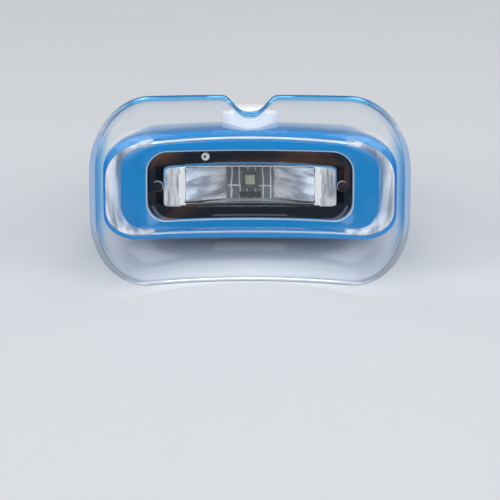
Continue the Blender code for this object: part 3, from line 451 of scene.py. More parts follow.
def ring_moves(spot, ring):
    """How far a point of a ring moves in Y and Z: bowed face, crown, nose notch and flat underside."""
    half, top, bottom, _, corner_top, corner_bottom, y = ring["outline"]
    crown = ring.get("crown", 0.0)
    level = 1 if spot.z > 0 else -1
    side_z = max((top - corner_top if level > 0 else bottom - corner_bottom) + crown, MM)
    rise = -level * crown * (spot.x / half) ** 2 * min(abs(spot.z) / side_z, 1.0)
    notch_half = ring.get("notch_half", 0.0)
    if level > 0 and abs(spot.x) < notch_half:
        rise -= ring["notch"] * math.cos(math.pi / 2 * (abs(spot.x) / notch_half) ** NOTCH_ROUNDNESS) ** 2
    back = y - ring.get("bow_share", 1.0) * bow(spot.x)
    stand_off = ring.get("stand_off", 0.0)
    if stand_off:
        back -= stand_off * FACE_RADIUS / (FACE_RADIUS - bow(spot.x))
    if "belly" in ring:
        floor = belly_line(back) + ring["belly"] / REST_COS
        rise = max(spot.z + rise, floor) - spot.z
    return back - spot.y, rise


def loft(name, rings, closed=False, side_cuts=0, levels=1, bands=None):
    """A skin through rounded outlines, in the head frame.

    A closed loft joins its last outline to its first. An open one is capped with strips. The bands
    give a material slot for the faces that start at a ring.
    """
    def within(edge, span):
        return all(span[0] <= vert.index < span[1] for vert in edge.verts)

    piece = start(name, bpy.ops.mesh.primitive_plane_add, size=MM)
    with editing(whole=True):
        bpy.ops.mesh.delete(type="VERT")
        spans = [add_ring(ring, place, side_cuts) for place, ring in enumerate(rings)]
        pairs = list(zip(spans, spans[1:]))
        if closed:
            pairs.append((spans[-1], spans[0]))
        for near, far in pairs:
            choose(lambda edge: within(edge, near) or within(edge, far), "EDGE")
            bpy.ops.mesh.bridge_edge_loops()
        for span in () if closed else (spans[0], spans[-1]):
            choose(lambda edge: within(edge, span) and edge.verts[0].co.z * edge.verts[1].co.z > 0, "EDGE")
            bpy.ops.mesh.bridge_edge_loops()
    if bands:
        count = spans[0][1]
        for face in piece.data.polygons:
            near, far = min(face.vertices) // count, max(face.vertices) // count
            face.material_index = bands.get(near if far - near == 1 else far, 0)
    moves = [(0.0, 0.0)] * len(piece.data.vertices)
    for span, ring in zip(spans, rings):
        for index in range(*span):
            moves[index] = ring_moves(piece.data.vertices[index].co, ring)
    push(piece, "Y", [back for back, _ in moves])
    push(piece, "Z", [rise for _, rise in moves])
    only(piece)
    with editing(whole=True):
        bpy.ops.mesh.normals_make_consistent(inside=False)
    if levels:
        modify(piece, "SUBSURF", levels=levels, render_levels=levels)
    return piece


def add_node(tree, kind, values, **settings):
    """Adds a shader node with its settings and inputs."""
    node = tree.nodes.new("ShaderNode" + kind)
    for key, value in settings.items():
        setattr(node, key, value)
    fill(tree, node, values)
    return node


def fill(tree, node, values):
    """Sets a node's inputs to values, or links them to other nodes' outputs."""
    for socket, value in values.items():
        if isinstance(value, bpy.types.NodeSocket):
            tree.links.new(value, node.inputs[socket])
        else:
            node.inputs[socket].default_value = value


def shine(finish, values):
    """Sets or links inputs of a material's own shader."""
    fill(finish.node_tree, finish.node_tree.nodes["Principled BSDF"], values)


def colour_ramp(tree, factor, shades, stops=(0.0, 1.0)):
    """The colour output of a ramp between two shades."""
    ramp = add_node(tree, "ValToRGB", {"Fac": factor})
    for element, shade, position in zip(ramp.color_ramp.elements, shades, stops):
        element.position = position
        element.color = (*shade, 1.0)
    return ramp.outputs["Color"]


def material(name, shade, roughness, other=None, stops=(0.0, 1.0), metallic=0.0, coat=0.0, mottle=0.05,
             grain=600.0, bump=0.02, stretch=(1.0, 1.0, 1.0)):
    """A Principled material whose colour and roughness follow a noise pattern.

    The colour runs to the other shade, or is mottled a little darker and lighter.
    """
    finish = bpy.data.materials.new(name)
    finish.use_nodes = True
    tree = finish.node_tree
    place = add_node(tree, "TexCoord", {})
    mapping = add_node(tree, "Mapping", {"Vector": place.outputs["Object"], "Scale": stretch})
    noise = add_node(tree, "TexNoise", {"Vector": mapping.outputs["Vector"], "Scale": grain, "Detail": 3.0})
    factor = noise.outputs["Fac"]
    shades = (shade, other) if other else [[min(channel * share, 1.0) for channel in shade]
                                           for share in (1 - mottle, 1 + mottle)]
    spread = add_node(tree, "MapRange", {"Value": factor, "To Min": roughness * (1 - ROUGHNESS_SPREAD),
                                         "To Max": roughness * (1 + ROUGHNESS_SPREAD)})
    shine(finish, {"Metallic": metallic, "Coat Weight": coat, "Coat Roughness": COAT_ROUGHNESS,
                   "Base Color": colour_ramp(tree, factor, shades, stops),
                   "Roughness": spread.outputs["Result"]})
    if bump:
        relief = add_node(tree, "Bump", {"Height": factor, "Strength": bump, "Distance": BUMP_HEIGHT})
        shine(finish, {"Normal": relief.outputs["Normal"]})
    return finish


def plastic(name, shade, roughness, coat=0.0, mottle=0.05):
    """Smooth moulded plastic."""
    return material(name, shade, roughness, coat=coat, mottle=mottle, grain=220.0, bump=0.0)


def clear(name, tint, roughness, clearness=1.0):
    """Clear acrylic, frosted where its clearness is below one."""
    finish = material(name, tint, roughness, mottle=0.01, grain=120.0, bump=0.0)
    shine(finish, {"Transmission Weight": clearness, "IOR": ACRYLIC_IOR})
    return finish


def highlight_streaked(name, grain):
    """Clear acrylic with bright streaks, highlights painted into its colour."""
    finish = material(name, STREAK_DARK, 0.10, other=STREAK_HIGHLIGHT, stops=(0.35, 0.58),
                      grain=grain, bump=0.6, stretch=(2.2, 1.0, 0.25))
    shine(finish, {"Transmission Weight": 0.55, "IOR": STREAKED_IOR})
    return finish


def paint_blue_reflection(finish, tint, blue, heights, distances):
    """Paints the casing's blue into clear acrylic's colour, as a painted reflection of the casing.

    The blue grows from the first height to the second, and from the first distance to the second
    off the middle.
    """
    tree = finish.node_tree
    split = add_node(tree, "SeparateXYZ", {"Vector": tree.nodes["Texture Coordinate"].outputs["Object"]})
    off_middle = add_node(tree, "Math", {0: split.outputs["X"]}, operation="ABSOLUTE")
    shares = {}
    for index, (value, (low, high)) in enumerate(((split.outputs["Z"], heights),
                                                  (off_middle.outputs["Value"], distances))):
        share = add_node(tree, "MapRange", {"Value": value, "From Min": low, "From Max": high})
        shares[index] = share.outputs["Result"]
    both = add_node(tree, "Math", shares, operation="MULTIPLY")
    shine(finish, {"Base Color": colour_ramp(tree, both.outputs["Value"], (tint, blue))})
    return finish


def printed_board(name, dark, pale):
    """Solder mask with pale tracks that wander between dark patches."""
    finish = plastic(name, dark, 0.35)
    tree = finish.node_tree
    turn = add_node(tree, "Mapping", {"Vector": tree.nodes["Texture Coordinate"].outputs["Object"],
                                      "Rotation": (math.pi / 2, 0, 0)})
    wander = add_node(tree, "VectorMath", {0: tree.nodes["Noise Texture"].outputs["Color"],
                                           1: (TRACK_WANDER,) * 3, 2: turn.outputs["Vector"]},
                      operation="MULTIPLY_ADD")
    lighter = [2.2 * channel for channel in dark]
    tracks = add_node(tree, "TexBrick", {
        "Vector": wander.outputs["Vector"], "Color1": (*dark, 1.0), "Color2": (*lighter, 1.0),
        "Mortar": (*pale, 1.0), "Mortar Size": TRACK_WIDTH, "Mortar Smooth": 0.6, "Scale": 1.0,
        "Brick Width": TRACK_SPACING, "Row Height": TRACK_ROW}, offset=0.0)
    shine(finish, {"Base Color": tracks.outputs["Color"]})
    return finish


def settle(piece):
    """Turns a piece from the head frame on to the floor, with its place in its mesh."""
    only(piece)
    piece.rotation_euler = (-REST_ANGLE, 0, 0)
    piece.location = HEAD_ORIGIN
    bake()
    return piece


def copy_of(piece, name):
    """A copy with its own mesh."""
    only(piece)
    bpy.ops.object.duplicate()
    twin = bpy.context.object
    twin.name = name
    twin.data.name = name
    return twin


def carve(piece, operation, *tools):
    """Exact Boolean steps, which use up their tools."""
    for tool in tools:
        modify(piece, "BOOLEAN", operation=operation, solver="EXACT", object=tool)
        bpy.data.objects.remove(tool, do_unlink=True)


def cube(name, centre, size):
    """A block with its place and size in its mesh."""
    piece = start(name, bpy.ops.mesh.primitive_cube_add, size=1.0, location=centre)
    bpy.ops.transform.resize(value=size)
    bake()
    return piece


def block(name, low, high):
    """A block between two corners given level with the floor, from the casing's face."""
    low = Vector(low)
    high = Vector(high)
    return cube(name, (low + high) / 2 + HEAD_ORIGIN, high - low)


def post(name, radius, x, y, low, high, sides=POST_SIDES, stretch=1.0):
    """An upright cylinder in the head frame, turned on to the floor."""
    piece = start(name, bpy.ops.mesh.primitive_cylinder_add, vertices=sides, radius=radius,
                  depth=high - low, location=(x, y, (low + high) / 2))
    piece.scale = (1.0, stretch, 1.0)
    bake()
    return settle(piece)


def peg(name, radius, x, z, front, back, edge=0.0):
    """A short cylinder along the head frame's Y axis with a soft front edge, still in that frame."""
    piece = start(name, bpy.ops.mesh.primitive_cylinder_add, vertices=PEG_SIDES, radius=radius,
                  depth=back - front, location=(x, (front + back) / 2, z), rotation=(math.pi / 2, 0, 0))
    bake()
    if edge:
        with editing():
            choose(lambda line: all(vert.co.y < front + NEAR for vert in line.verts), "EDGE")
            bpy.ops.mesh.bevel(offset=edge, segments=4, affect="EDGES")
    return piece


def dress(piece, body, slot, finishes, *nodes, angle=SMOOTH_ANGLE):
    """Gives a finished piece its shading, materials and body, and hides the CAD nodes that it stands for.
    """
    only(piece)
    bpy.ops.object.shade_smooth_by_angle(angle=angle)
    bands = [face.material_index for face in piece.data.polygons]
    piece.data.materials.clear()
    for finish in finishes:
        piece.data.materials.append(finish)
    for face, band in zip(piece.data.polygons, bands):
        face.material_index = min(band, len(finishes) - 1)
    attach(piece, body)
    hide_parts(*nodes)


def level_rings(half, top, rows):
    """Rings as high as they are low, from rows of growth past a half width and height, corner and depth."""
    return [{"outline": (half + growth, top + growth, top + growth, corner, corner, corner, y)}
            for growth, corner, y in rows]


def smooth_rows(rows):
    """The rows with one more between each two, on a smooth curve through all of them."""
    before = [2 * near - far for near, far in zip(rows[0], rows[1])]
    after = [2 * near - far for near, far in zip(rows[-1], rows[-2])]
    line = [before, *rows, after]
    dense = []
    for first, near, far, last in zip(line, line[1:], line[2:], line[3:]):
        dense.append(near)
        dense.append([(9 * (b + c) - a - d) / 16 for a, b, c, d in zip(first, near, far, last)])
    return dense + [rows[-1]]


def casing_rings(sizes, inset):
    """Rings of the casing's outer form, or of its hollow when drawn in by a wall."""
    rings = []
    for along, bow_share, width, top, bottom, corner, height in smooth_rows(CASING_SECTION_SHARES):
        half = FACE_HALF * width - inset
        high = FACE_TOP * top - inset
        low = FACE_TOP * bottom - inset
        y = inset + along * (sizes.casing_length - 2 * inset)
        rings.append({"outline": (half, high, low, half * corner, high * height, low * height, y),
                      "bow_share": bow_share, "crown": FACE_CROWN, "belly": inset})
    return rings


def casing_solid(sizes):
    """The casing's whole outer form, with a soft front edge and the window as a blind recess."""
    corner = WINDOW_CORNER
    soft = CASING_EDGE / 2
    rings = level_rings(sizes.window_width / 2, sizes.window_height / 2, (
        (0.0, corner, 3 * sizes.casing_wall),
        (0.0, corner, soft),
        (soft / 4, corner, soft / 4),
        (soft, corner + soft, 0.0),
        (2 * soft, corner + 2 * soft, 0.0)))
    first, *others = casing_rings(sizes, 0.0)
    for inset, y in ((4 * soft, 0.0), (2 * soft, 0.0), (soft / 2, soft / 2), (0.0, 2 * soft)):
        outline = [size - inset for size in first["outline"][:6]]
        rings.append({"outline": (*outline, y), "crown": FACE_CROWN, "belly": inset})
    # Faces round the window's soft edge take the second slot, the pale painted highlight line
    return loft("casing_solid", rings + others, bands={1: 1, 2: 1})


def casing_halves(sizes):
    """The casing's upper and lower half, still solid."""
    solid = casing_solid(sizes)
    halves = []
    for level, name in ((1, "casing_upper_shell"), (-1, "casing_lower_shell")):
        half = copy_of(solid, name)
        with editing(whole=True):
            bpy.ops.mesh.bisect(plane_co=(0, 0, level * SEAM / 2), plane_no=(0, 0, level),
                                clear_inner=True, use_fill=True)
        halves.append(settle(half))
    bpy.data.objects.remove(solid, do_unlink=True)
    return halves


def at_screws(name, radius, high):
    """Upright cylinders at the case screws, up to a height in the head frame."""
    return [post(name, radius, side * x, y, BELOW_Z, high) for x, y in SCREW_PLACES for side in (-1, 1)]


def hollow_upper(sizes, upper, cavity):
    """Hollows the upper half and cuts the button's hole."""
    radius = sizes.button_width / 2 + sizes.gap
    stretch = (sizes.button_length / 2 + sizes.gap) / radius
    carve(upper, "DIFFERENCE", copy_of(cavity, "upper_hollow"),
          post("button_hole", radius, 0, BUTTON_Y, HOLE_LOW, HOLE_HIGH, ROUND_SIDES, stretch))


def hollow_lower(sizes, lower, cavity):
    """Hollows the lower half round its screw bosses and battery bay, and adds its feet."""
    gap = sizes.gap
    carve(cavity, "DIFFERENCE", *at_screws("boss", BOSS_RADIUS, BEYOND),
          block("bay_frame", (-BAY_FRAME_HALF, BAY_FRONT_Y - BAY_WALL, BELLY_Z - BEYOND),
                (BAY_FRAME_HALF, BAY_BACK_Y + BAY_WALL, BELLY_Z + BAY_HEIGHT)))
    end = sizes.casing_length + BEYOND
    carve(lower, "DIFFERENCE", cavity, *at_screws("counterbore", COUNTERBORE_RADIUS, SCREW_SEAT_Z),
          block("bay", (-BAY_HALF, BAY_FRONT_Y, BELLY_Z - BEYOND),
                (BAY_HALF, BAY_BACK_Y, BELLY_Z + BAY_HEIGHT + BEYOND)),
          block("door_slot", (-DOOR_HALF - gap, DOOR_FRONT_Y - gap, BELLY_Z - BEYOND),
                (DOOR_HALF + gap, end, BELLY_Z + DOOR_THICKNESS + gap)),
          block("tongue_slot", (-TONGUE_HALF - gap, BAY_FRONT_Y - gap, TONGUE_LOW - gap),
                (TONGUE_HALF + gap, end, TONGUE_HIGH + gap)))
    for side in (-1, 1):
        left, right = sorted(side * x for x in FOOT_X)
        carve(lower, "UNION", block("foot", (left, FOOT_BACK_Y - FOOT_LENGTH, FLOOR_Z),
                                    (right, FOOT_BACK_Y, BELLY_Z + sizes.casing_wall / 2)))


def cut_door(sizes, door):
    """Cuts the battery door with its tongues and grip ribs out of a solid lower half."""
    form = block("door_form", (-DOOR_HALF, DOOR_FRONT_Y, BELLY_Z - BEYOND),
                 (DOOR_HALF, sizes.casing_length + BEYOND, BELLY_Z + DOOR_THICKNESS))
    carve(form, "UNION", block("door_tongue", (-TONGUE_HALF, BAY_FRONT_Y, TONGUE_LOW),
                               (TONGUE_HALF, BAY_BACK_Y, TONGUE_HIGH)))
    carve(door, "INTERSECT", form)
    for index in range(RIB_COUNT):
        back = BAY_BACK_Y - index * RIB_PITCH
        carve(door, "UNION", block("rib", (-RIB_HALF, back - RIB_THICKNESS, BELLY_Z - RIB_HEIGHT),
                                   (RIB_HALF, back, BELLY_Z + DOOR_THICKNESS / 2)))


class LAMP_OT_casing(bpy.types.Operator):
    """Make the glossy casing halves and the sliding battery door"""

    bl_idname = "lamp.casing"
    bl_label = "Casing and Door"

    def execute(self, context):
        sizes = context.scene.lamp_sizes
        looks = context.scene.lamp_looks
        blue = plastic("casing_blue_gloss", looks.casing_blue, 0.14, coat=0.25, mottle=0.06)
        shine(blue, {"Specular IOR Level": 0.25})
        # The window's soft edge gets a pale painted highlight line
        edge = plastic("casing_window_edge", looks.window_edge_highlight, 0.2)
        upper, lower = casing_halves(sizes)
        cavity = settle(loft("cavity", casing_rings(sizes, sizes.casing_wall), levels=0))
        door = copy_of(lower, "battery_door_panel")
        hollow_upper(sizes, upper, cavity)
        hollow_lower(sizes, lower, cavity)
        cut_door(sizes, door)
        for piece, body, node in ((upper, "casing", "upper_casing"), (lower, "casing", "lower_casing"),
                                  (door, "door", "battery_door")):
            dress(piece, body, "casing_blue", (blue, edge), node)
        return {"FINISHED"}


def mouth_ring(inset, out, ahead, stand_off):
    """A ring of the shield's mouth ring, at its foot where out is none and at its lip where it is one."""
    corner = RING_CORNER_HEIGHT - inset
    top = FACE_TOP - RING_BORDER - inset
    bottom = FACE_TOP - RING_LOWER_BORDER - inset
    half = FACE_HALF - RING_INSET + RING_FLARE * out - inset
    y = -RING_RISE * out - ahead
    return {"outline": (half, top, bottom, RING_CORNER_WIDTH - inset, corner, corner, y),
            "crown": FACE_CROWN, "bow_share": 1 + RING_SIDE_RISE_SHARE * out, "stand_off": stand_off}


def bowl_ring(sizes, ahead, out, inset, stand_off):
    """A ring of the shield's bowl, by its shares of the way ahead and out from the face to the rim."""
    corners = [ring + (rim - ring) * out - inset
               for ring, rim in ((RING_CORNER_WIDTH, RIM_CORNER_WIDTH),
                                 (RING_CORNER_HEIGHT, RIM_TOP_CORNER),
                                 (RING_CORNER_HEIGHT, RIM_BOTTOM_CORNER))]
    half = FACE_HALF + SHIELD_OVERHANG + (SHIELD_MARGIN - SHIELD_OVERHANG) * out - inset
    base_top = FACE_TOP + SHIELD_OVERHANG
    top = base_top + (sizes.shield_height / 2 - base_top) * out - inset
    return {"outline": (half, top, top, *corners, -sizes.shield_reach * ahead),
            "crown": FACE_CROWN * (1 - out), "stand_off": stand_off * (1 - ahead),
            "notch_half": sizes.notch_half_width, "notch": sizes.notch_depth * out}


def shield_solid(sizes):
    """The shield's mesh, with material slots for its mouth ring's lip and sides, and for its rim."""
    wall = sizes.shield_wall
    back = sizes.gap
    front = back + wall
    turns = [math.pi / 2 * step / BOWL_STEPS for step in range(BOWL_STEPS + 1)]
    shares = [(1 - math.cos(turn), math.sin(turn)) for turn in turns]
    rings = [mouth_ring(wall / 2, 1.0, 0.0, front),
             mouth_ring(0.0, 1.0, 0.0, front - wall / 4),
             mouth_ring(0.0, 0.0, wall / 4, front),
             mouth_ring(-wall / 4, 0.0, 0.0, front)]
    rings += [bowl_ring(sizes, ahead, out, wall, front) for ahead, out in shares]
    rings += [bowl_ring(sizes, 1.0, 1.0, inset, 0.0)
              for inset in (wall - wall * RIM_EDGE_SHARE, wall * RIM_EDGE_SHARE)]
    rings += [bowl_ring(sizes, ahead, out, 0.0, back) for ahead, out in reversed(shares)]
    rings += [mouth_ring(wall, 0.0, 0.0, back), mouth_ring(wall, 1.0, 0.0, front - wall / 4)]
    # Sides take streaks of painted highlight, the mouth ring's lip a pale painted highlight line, and the
    # rim the lip's finish with painted blue reflection
    walls, streaks, lip, ring_lip_highlight = range(4)
    last = len(rings) - 1
    rim = 3 + len(shares)
    bands = {0: ring_lip_highlight, 1: streaks, 2: streaks, last - 1: streaks, last: streaks,
             rim: lip, rim + 1: lip, rim + 2: lip}
    shield = loft("shield_clear", rings, closed=True, side_cuts=SIDE_CUTS, bands=bands)
    side = FACE_HALF - RING_INSET - RING_CORNER_WIDTH
    for face in shield.data.polygons:
        if face.material_index in (streaks, ring_lip_highlight) and abs(face.center.x) > side:
            face.material_index = streaks
        elif face.material_index == streaks:
            face.material_index = walls
    return shield


class LAMP_OT_shield(bpy.types.Operator):
    """Make the clear flared shield with the mouth ring inside it"""

    bl_idname = "lamp.shield"
    bl_label = "Clear Shield"

    def execute(self, context):
        looks = context.scene.lamp_looks
        shield = settle(shield_solid(context.scene.lamp_sizes))
        tint = looks.clear_tint
        lip_tint = looks.lip_tint
        # The walls and the lip get the casing's blue painted in, a painted reflection
        walls = paint_blue_reflection(clear("clear_acrylic_polished", tint, 0.02), tint, looks.painted_side_blue,
                           WALL_PAINTED_BLUE_HEIGHTS, WALL_PAINTED_BLUE_DISTANCES)
        lip = paint_blue_reflection(clear("clear_acrylic_lip", lip_tint, 0.08, 0.6), lip_tint, looks.painted_edge_blue,
                         LIP_PAINTED_BLUE_HEIGHTS, LIP_PAINTED_BLUE_DISTANCES)
        # The sides' bright streaks are painted highlight
        dress(shield, "casing", "clear_acrylic",
              (walls, highlight_streaked("clear_acrylic_streaked", 170.0), lip,
               # Pale line along the mouth ring's lip: painted highlight
               clear("clear_acrylic_ring_lip", tint, 0.15, 0.5)), "face_shield",
              angle=WIDE_SMOOTH_ANGLE)
        shield.visible_shadow = False
        return {"FINISHED"}


def window_plate(sizes, dark, pale):
    """The dark plate behind the window, with an opening for the light."""
    gap = sizes.gap
    front = sizes.casing_wall + gap
    recess = sizes.plate_recess
    corner = WINDOW_CORNER
    inner = gap + PLATE_BEND
    # The plate's side wall round the window takes the second slot, a pale painted highlight
    plate = loft("window_plate_mirror", level_rings(sizes.window_width / 2, sizes.window_height / 2, (
        (-2 * inner, corner - inner, recess),
        (-inner, corner, recess),
        (gap / 2, corner + gap / 2, recess - gap),
        (gap, corner + gap, front + gap),
        (2 * gap, corner + 2 * gap, front),
        (PLATE_BORDER, corner + PLATE_BORDER, front),
        (PLATE_BORDER, corner + PLATE_BORDER, recess + PLATE_WALL))), bands={2: 1, 3: 1})
    light = level_rings(sizes.lens_width / 2 - LENS_END, sizes.lens_height / 2 - LENS_WALL,
                        ((0.0, LENS_CORNER, -BEYOND), (0.0, LENS_CORNER, BEYOND)))
    carve(plate, "DIFFERENCE", loft("light_opening", light, levels=0))
    dress(settle(plate), "casing", "dark_mirror", (dark, pale), "window_plate")


def window_post(sizes, name, side, dark, pale):
    """A locating post beside the lens block, dark on its end, with a pale painted highlight round its side.
    """
    x = side * (sizes.window_width / 2 - POST_OFFSET)
    floor = sizes.plate_recess - bow(x)
    pin = settle(peg(name, POST_RADIUS, x, 0, floor - POST_HEIGHT, floor + SUNK, POST_EDGE))
    # Side faces take the pale painted highlight, the end stays dark
    for face in pin.data.polygons:
        face.material_index = int(face.normal.y > -FACING)
    dress(pin, "casing", "dark_mirror", (dark, pale), "window_plate")


def window_nub(sizes, finish):
    """The small hollow nub, midway between the lens block's top and the window's."""
    x = -NUB_OFFSET
    z = (sizes.window_height + sizes.lens_height) / 4
    floor = sizes.plate_recess - bow(x)
    nub = peg("window_nub", NUB_RADIUS, x, z, floor - NUB_HEIGHT, floor + SUNK, NUB_EDGE)
    carve(nub, "DIFFERENCE", peg("nub_bore", NUB_BORE_RADIUS, x, z, floor - 2 * NUB_HEIGHT, floor))
    dress(settle(nub), "casing", "button_white", (finish,), "window_plate")


class LAMP_OT_window(bpy.types.Operator):
    """Make the dark plate in the window, its posts and its nub"""

    bl_idname = "lamp.window"
    bl_label = "Window Plate"

    def execute(self, context):
        sizes = context.scene.lamp_sizes
        looks = context.scene.lamp_looks
        # The warm patches in the plate's colour are painted reflection
        dark = material("dark_mirror_plate", looks.plate_dark, 0.06, other=looks.plate_painted_reflection,
                        stops=(0.47, 0.68), metallic=0.9, grain=55.0, bump=0.0, stretch=(0.7, 1.0, 1.6))
        # Pale painted highlight for the edges of the plate and the posts
        pale = plastic("plate_edge_painted_highlight", PLATE_EDGE_HIGHLIGHT, 0.2, coat=0.3)
        window_plate(sizes, dark, pale)
        window_post(sizes, "window_post_left", -1, dark, pale)
        window_post(sizes, "window_post_right", 1, dark, pale)
        window_nub(sizes, plastic("nub_white", NUB_WHITE, 0.3))
        return {"FINISHED"}


def lens_solid(sizes):
    """The lens block's mesh, with material slots for its ends, upper edge and front line."""
    corner = LENS_CORNER
    soft = LENS_EDGE
    back = sizes.plate_recess - sizes.gap
    front = back - LENS_RISE
    floor = front + LENS_WALL
    half = sizes.lens_width / 2
    top = sizes.lens_height / 2
    inner_half = half - LENS_END
    inside = level_rings(inner_half, top - LENS_WALL, (
        (-soft, corner, floor), (0.0, corner, floor), (0.0, corner, floor + soft),
        (0.0, corner, back), (soft, corner, back)))
    outside = level_rings(half, top, (
        (-soft, corner, back), (0.0, corner, back), (0.0, corner, back - soft),
        (0.0, corner, front + soft), (0.0, corner, front + soft / 3),
        (-soft, corner, front), (-3 * soft, corner, front)))
    for ring in outside:
        ring["crown"] = LENS_CROWN
    # The upper front edge takes painted blue reflection, and a strip of the front by the inner ends a pale
    # painted highlight line
    body, ends, edge, line = range(4)
    lens = loft("lens_block", inside + outside, bands={8: edge, 9: edge, 10: line, 11: line})
    for face in lens.data.polygons:
        off_middle = abs(face.center.x)
        if face.material_index == edge and face.center.z > 0:
            continue
        if off_middle > inner_half:
            face.material_index = ends
        elif face.material_index == edge or off_middle < inner_half - corner:
            face.material_index = body
    return lens


class LAMP_OT_lens(bpy.types.Operator):
    """Make the clear hollow lens block"""

    bl_idname = "lamp.lens"
    bl_label = "Lens Block"

    def execute(self, context):
        looks = context.scene.lamp_looks
        tint = looks.clear_tint
        lens = settle(lens_solid(context.scene.lamp_sizes))
        # The lens ends take streaks of painted highlight
        dress(lens, "casing", "clear_acrylic",
              (clear("clear_lens", tint, 0.03), highlight_streaked("clear_lens_ends", 420.0),
               # The upper edge gets the casing's blue painted in, a painted reflection
               clear("clear_lens_painted_blue_edge", looks.painted_edge_blue, 0.08, 0.6),
               # Pale painted highlight line by the lens's inner ends
               clear("clear_lens_highlight_line", tint, 0.15, 0.25)), "lens_cover")
        lens.visible_shadow = False
        return {"FINISHED"}


def button_cap(sizes):
    """The button as a round cap with a swelling top, a flange and a stem, stretched to its length."""
    half = sizes.button_width / 2
    rise = BUTTON_TOP - BUTTON_CROWN - FLANGE_TOP
    drop = FLANGE_TOP - FLANGE_WIDTH - STEM_BOTTOM
    button = start("power_button_cap", bpy.ops.mesh.primitive_cylinder_add, vertices=ROUND_SIDES,
                   radius=half + FLANGE_WIDTH, depth=FLANGE_WIDTH,
                   location=(0, 0, FLANGE_TOP - FLANGE_WIDTH / 2))
    bake()
    with editing():
        choose(lambda face: face.normal.z > FACING, "FACE")
        bpy.ops.mesh.inset(thickness=FLANGE_WIDTH)
        bpy.ops.mesh.extrude_region_move(TRANSFORM_OT_translate={"value": (0, 0, rise)})
        choose(lambda line: all(vert.co.z > FLANGE_TOP + rise - NEAR for vert in line.verts), "EDGE")
        bpy.ops.mesh.bevel(offset=BUTTON_EDGE, segments=6, affect="EDGES")
        for share in CROWN_STEPS:
            choose(lambda face: len(face.verts) == ROUND_SIDES and face.calc_center_median().z > FLANGE_TOP,
                   "FACE")
            bpy.ops.mesh.inset(thickness=(half - BUTTON_EDGE) * CROWN_INSET_SHARE)
            bpy.ops.transform.translate(value=(0, 0, BUTTON_CROWN * share / sum(CROWN_STEPS)))
        choose(lambda face: face.normal.z < -FACING, "FACE")
        bpy.ops.mesh.inset(thickness=half + FLANGE_WIDTH - STEM_RADIUS)
        bpy.ops.mesh.extrude_region_move(TRANSFORM_OT_translate={"value": (0, 0, -drop)})
    button.scale = (1.0, sizes.button_length / sizes.button_width, 1.0)
    button.location = (0, BUTTON_Y, 0)
    bake()
    return button


class LAMP_OT_button(bpy.types.Operator):
    """Make the oval power button with its flange and stem"""

    bl_idname = "lamp.button"
    bl_label = "Power Button"

    def execute(self, context):
        white = plastic("button_white_satin", context.scene.lamp_looks.button_white, 0.38, mottle=0.012)
        button = settle(button_cap(context.scene.lamp_sizes))
        dress(button, "button", "button_white", (white,), "power_button")
        return {"FINISHED"}


def emitter_package(finish):
    """The emitter's square package with its raised rim."""
    package = cube("emitter_package", (0, EMITTER_FRONT + EMITTER_THICKNESS / 2, EMITTER_Z),
                   (EMITTER_SIZE, EMITTER_THICKNESS, EMITTER_SIZE))
    with editing(whole=True):
        bpy.ops.mesh.bevel(offset=EMITTER_EDGE, segments=2, affect="EDGES")
        choose(lambda face: face.normal.y < -FACING and face.calc_area() > EMITTER_SIZE ** 2 / 4, "FACE")
        bpy.ops.mesh.inset(thickness=EMITTER_RIM)
        bpy.ops.mesh.inset(thickness=EMITTER_EDGE, depth=-EMITTER_STEP)
    dress(settle(package), "casing", "emitter_body", (finish,), "led_emitter")


def emitter_chip(finish):
    """The square chip in the package."""
    y = EMITTER_FRONT + EMITTER_STEP - CHIP_THICKNESS / 2
    chip = settle(cube("emitter_chip", (0, y, EMITTER_Z), (CHIP_SIZE, CHIP_THICKNESS, CHIP_SIZE)))
    dress(chip, "casing", "emitter_body", (finish,), "led_emitter")


def emitter_dome(finish):
    """The clear dome over the chip, cut flat on the package."""
    y = EMITTER_FRONT + EMITTER_STEP
    dome = start("emitter_dome", bpy.ops.mesh.primitive_uv_sphere_add, segments=48, ring_count=24,
                 radius=DOME_RADIUS, location=(0, y, EMITTER_Z))
    bpy.ops.transform.resize(value=(1.0, DOME_HEIGHT / DOME_RADIUS, 1.0))
    bake()
    with editing(whole=True):
        bpy.ops.mesh.bisect(plane_co=(0, y, 0), plane_no=(0, -1, 0), clear_inner=True, use_fill=True)
    dress(settle(dome), "casing", "emitter_body", (finish,), "led_emitter")
    dome.visible_shadow = False


def finish_nodes(finish, *nodes):
    """Gives shown CAD nodes a finer material."""
    for node in nodes:
        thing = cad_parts[node]
        thing.data.materials.clear()
        thing.data.materials.append(finish)


class LAMP_OT_light(bpy.types.Operator):
    """Make the light emitter and finish the reflectors and the board around it"""

    bl_idname = "lamp.light"
    bl_label = "Light Unit"

    def execute(self, context):
        emitter_package(plastic("emitter_resin", EMITTER_RESIN, 0.3, mottle=0.3))
        emitter_chip(plastic("emitter_phosphor", PHOSPHOR, 0.4, mottle=0.4))
        emitter_dome(clear("emitter_lens", DOME_TINT, 0.03))
        silver = material("silvered_streaks", SILVER_DULL, 0.25, other=SILVER_BRIGHT,
                          stops=(0.38, 0.6), metallic=0.75, grain=240.0, bump=0.5, stretch=(0.35, 0.6, 2.0))
        finish_nodes(silver, "reflector_left", "reflector_right")
        finish_nodes(printed_board("board_pads", BOARD_DARK, BOARD_PALE), "led_board")
        return {"FINISHED"}


class LAMP_OT_inside(bpy.types.Operator):
    """Finish the parts inside the casing"""

    bl_idname = "lamp.inside"
    bl_label = "Inner Parts"

    def execute(self, context):
        steel = material("plated_steel_satin", STEEL, 0.25, metallic=1.0, grain=900.0, bump=0.05)
        finish_nodes(steel, *STEEL_NODES)
        for name, shade, roughness, coat, mottle, nodes in INNER_PLASTICS:
            finish_nodes(plastic(name, shade, roughness, coat, mottle), *nodes)
        return {"FINISHED"}


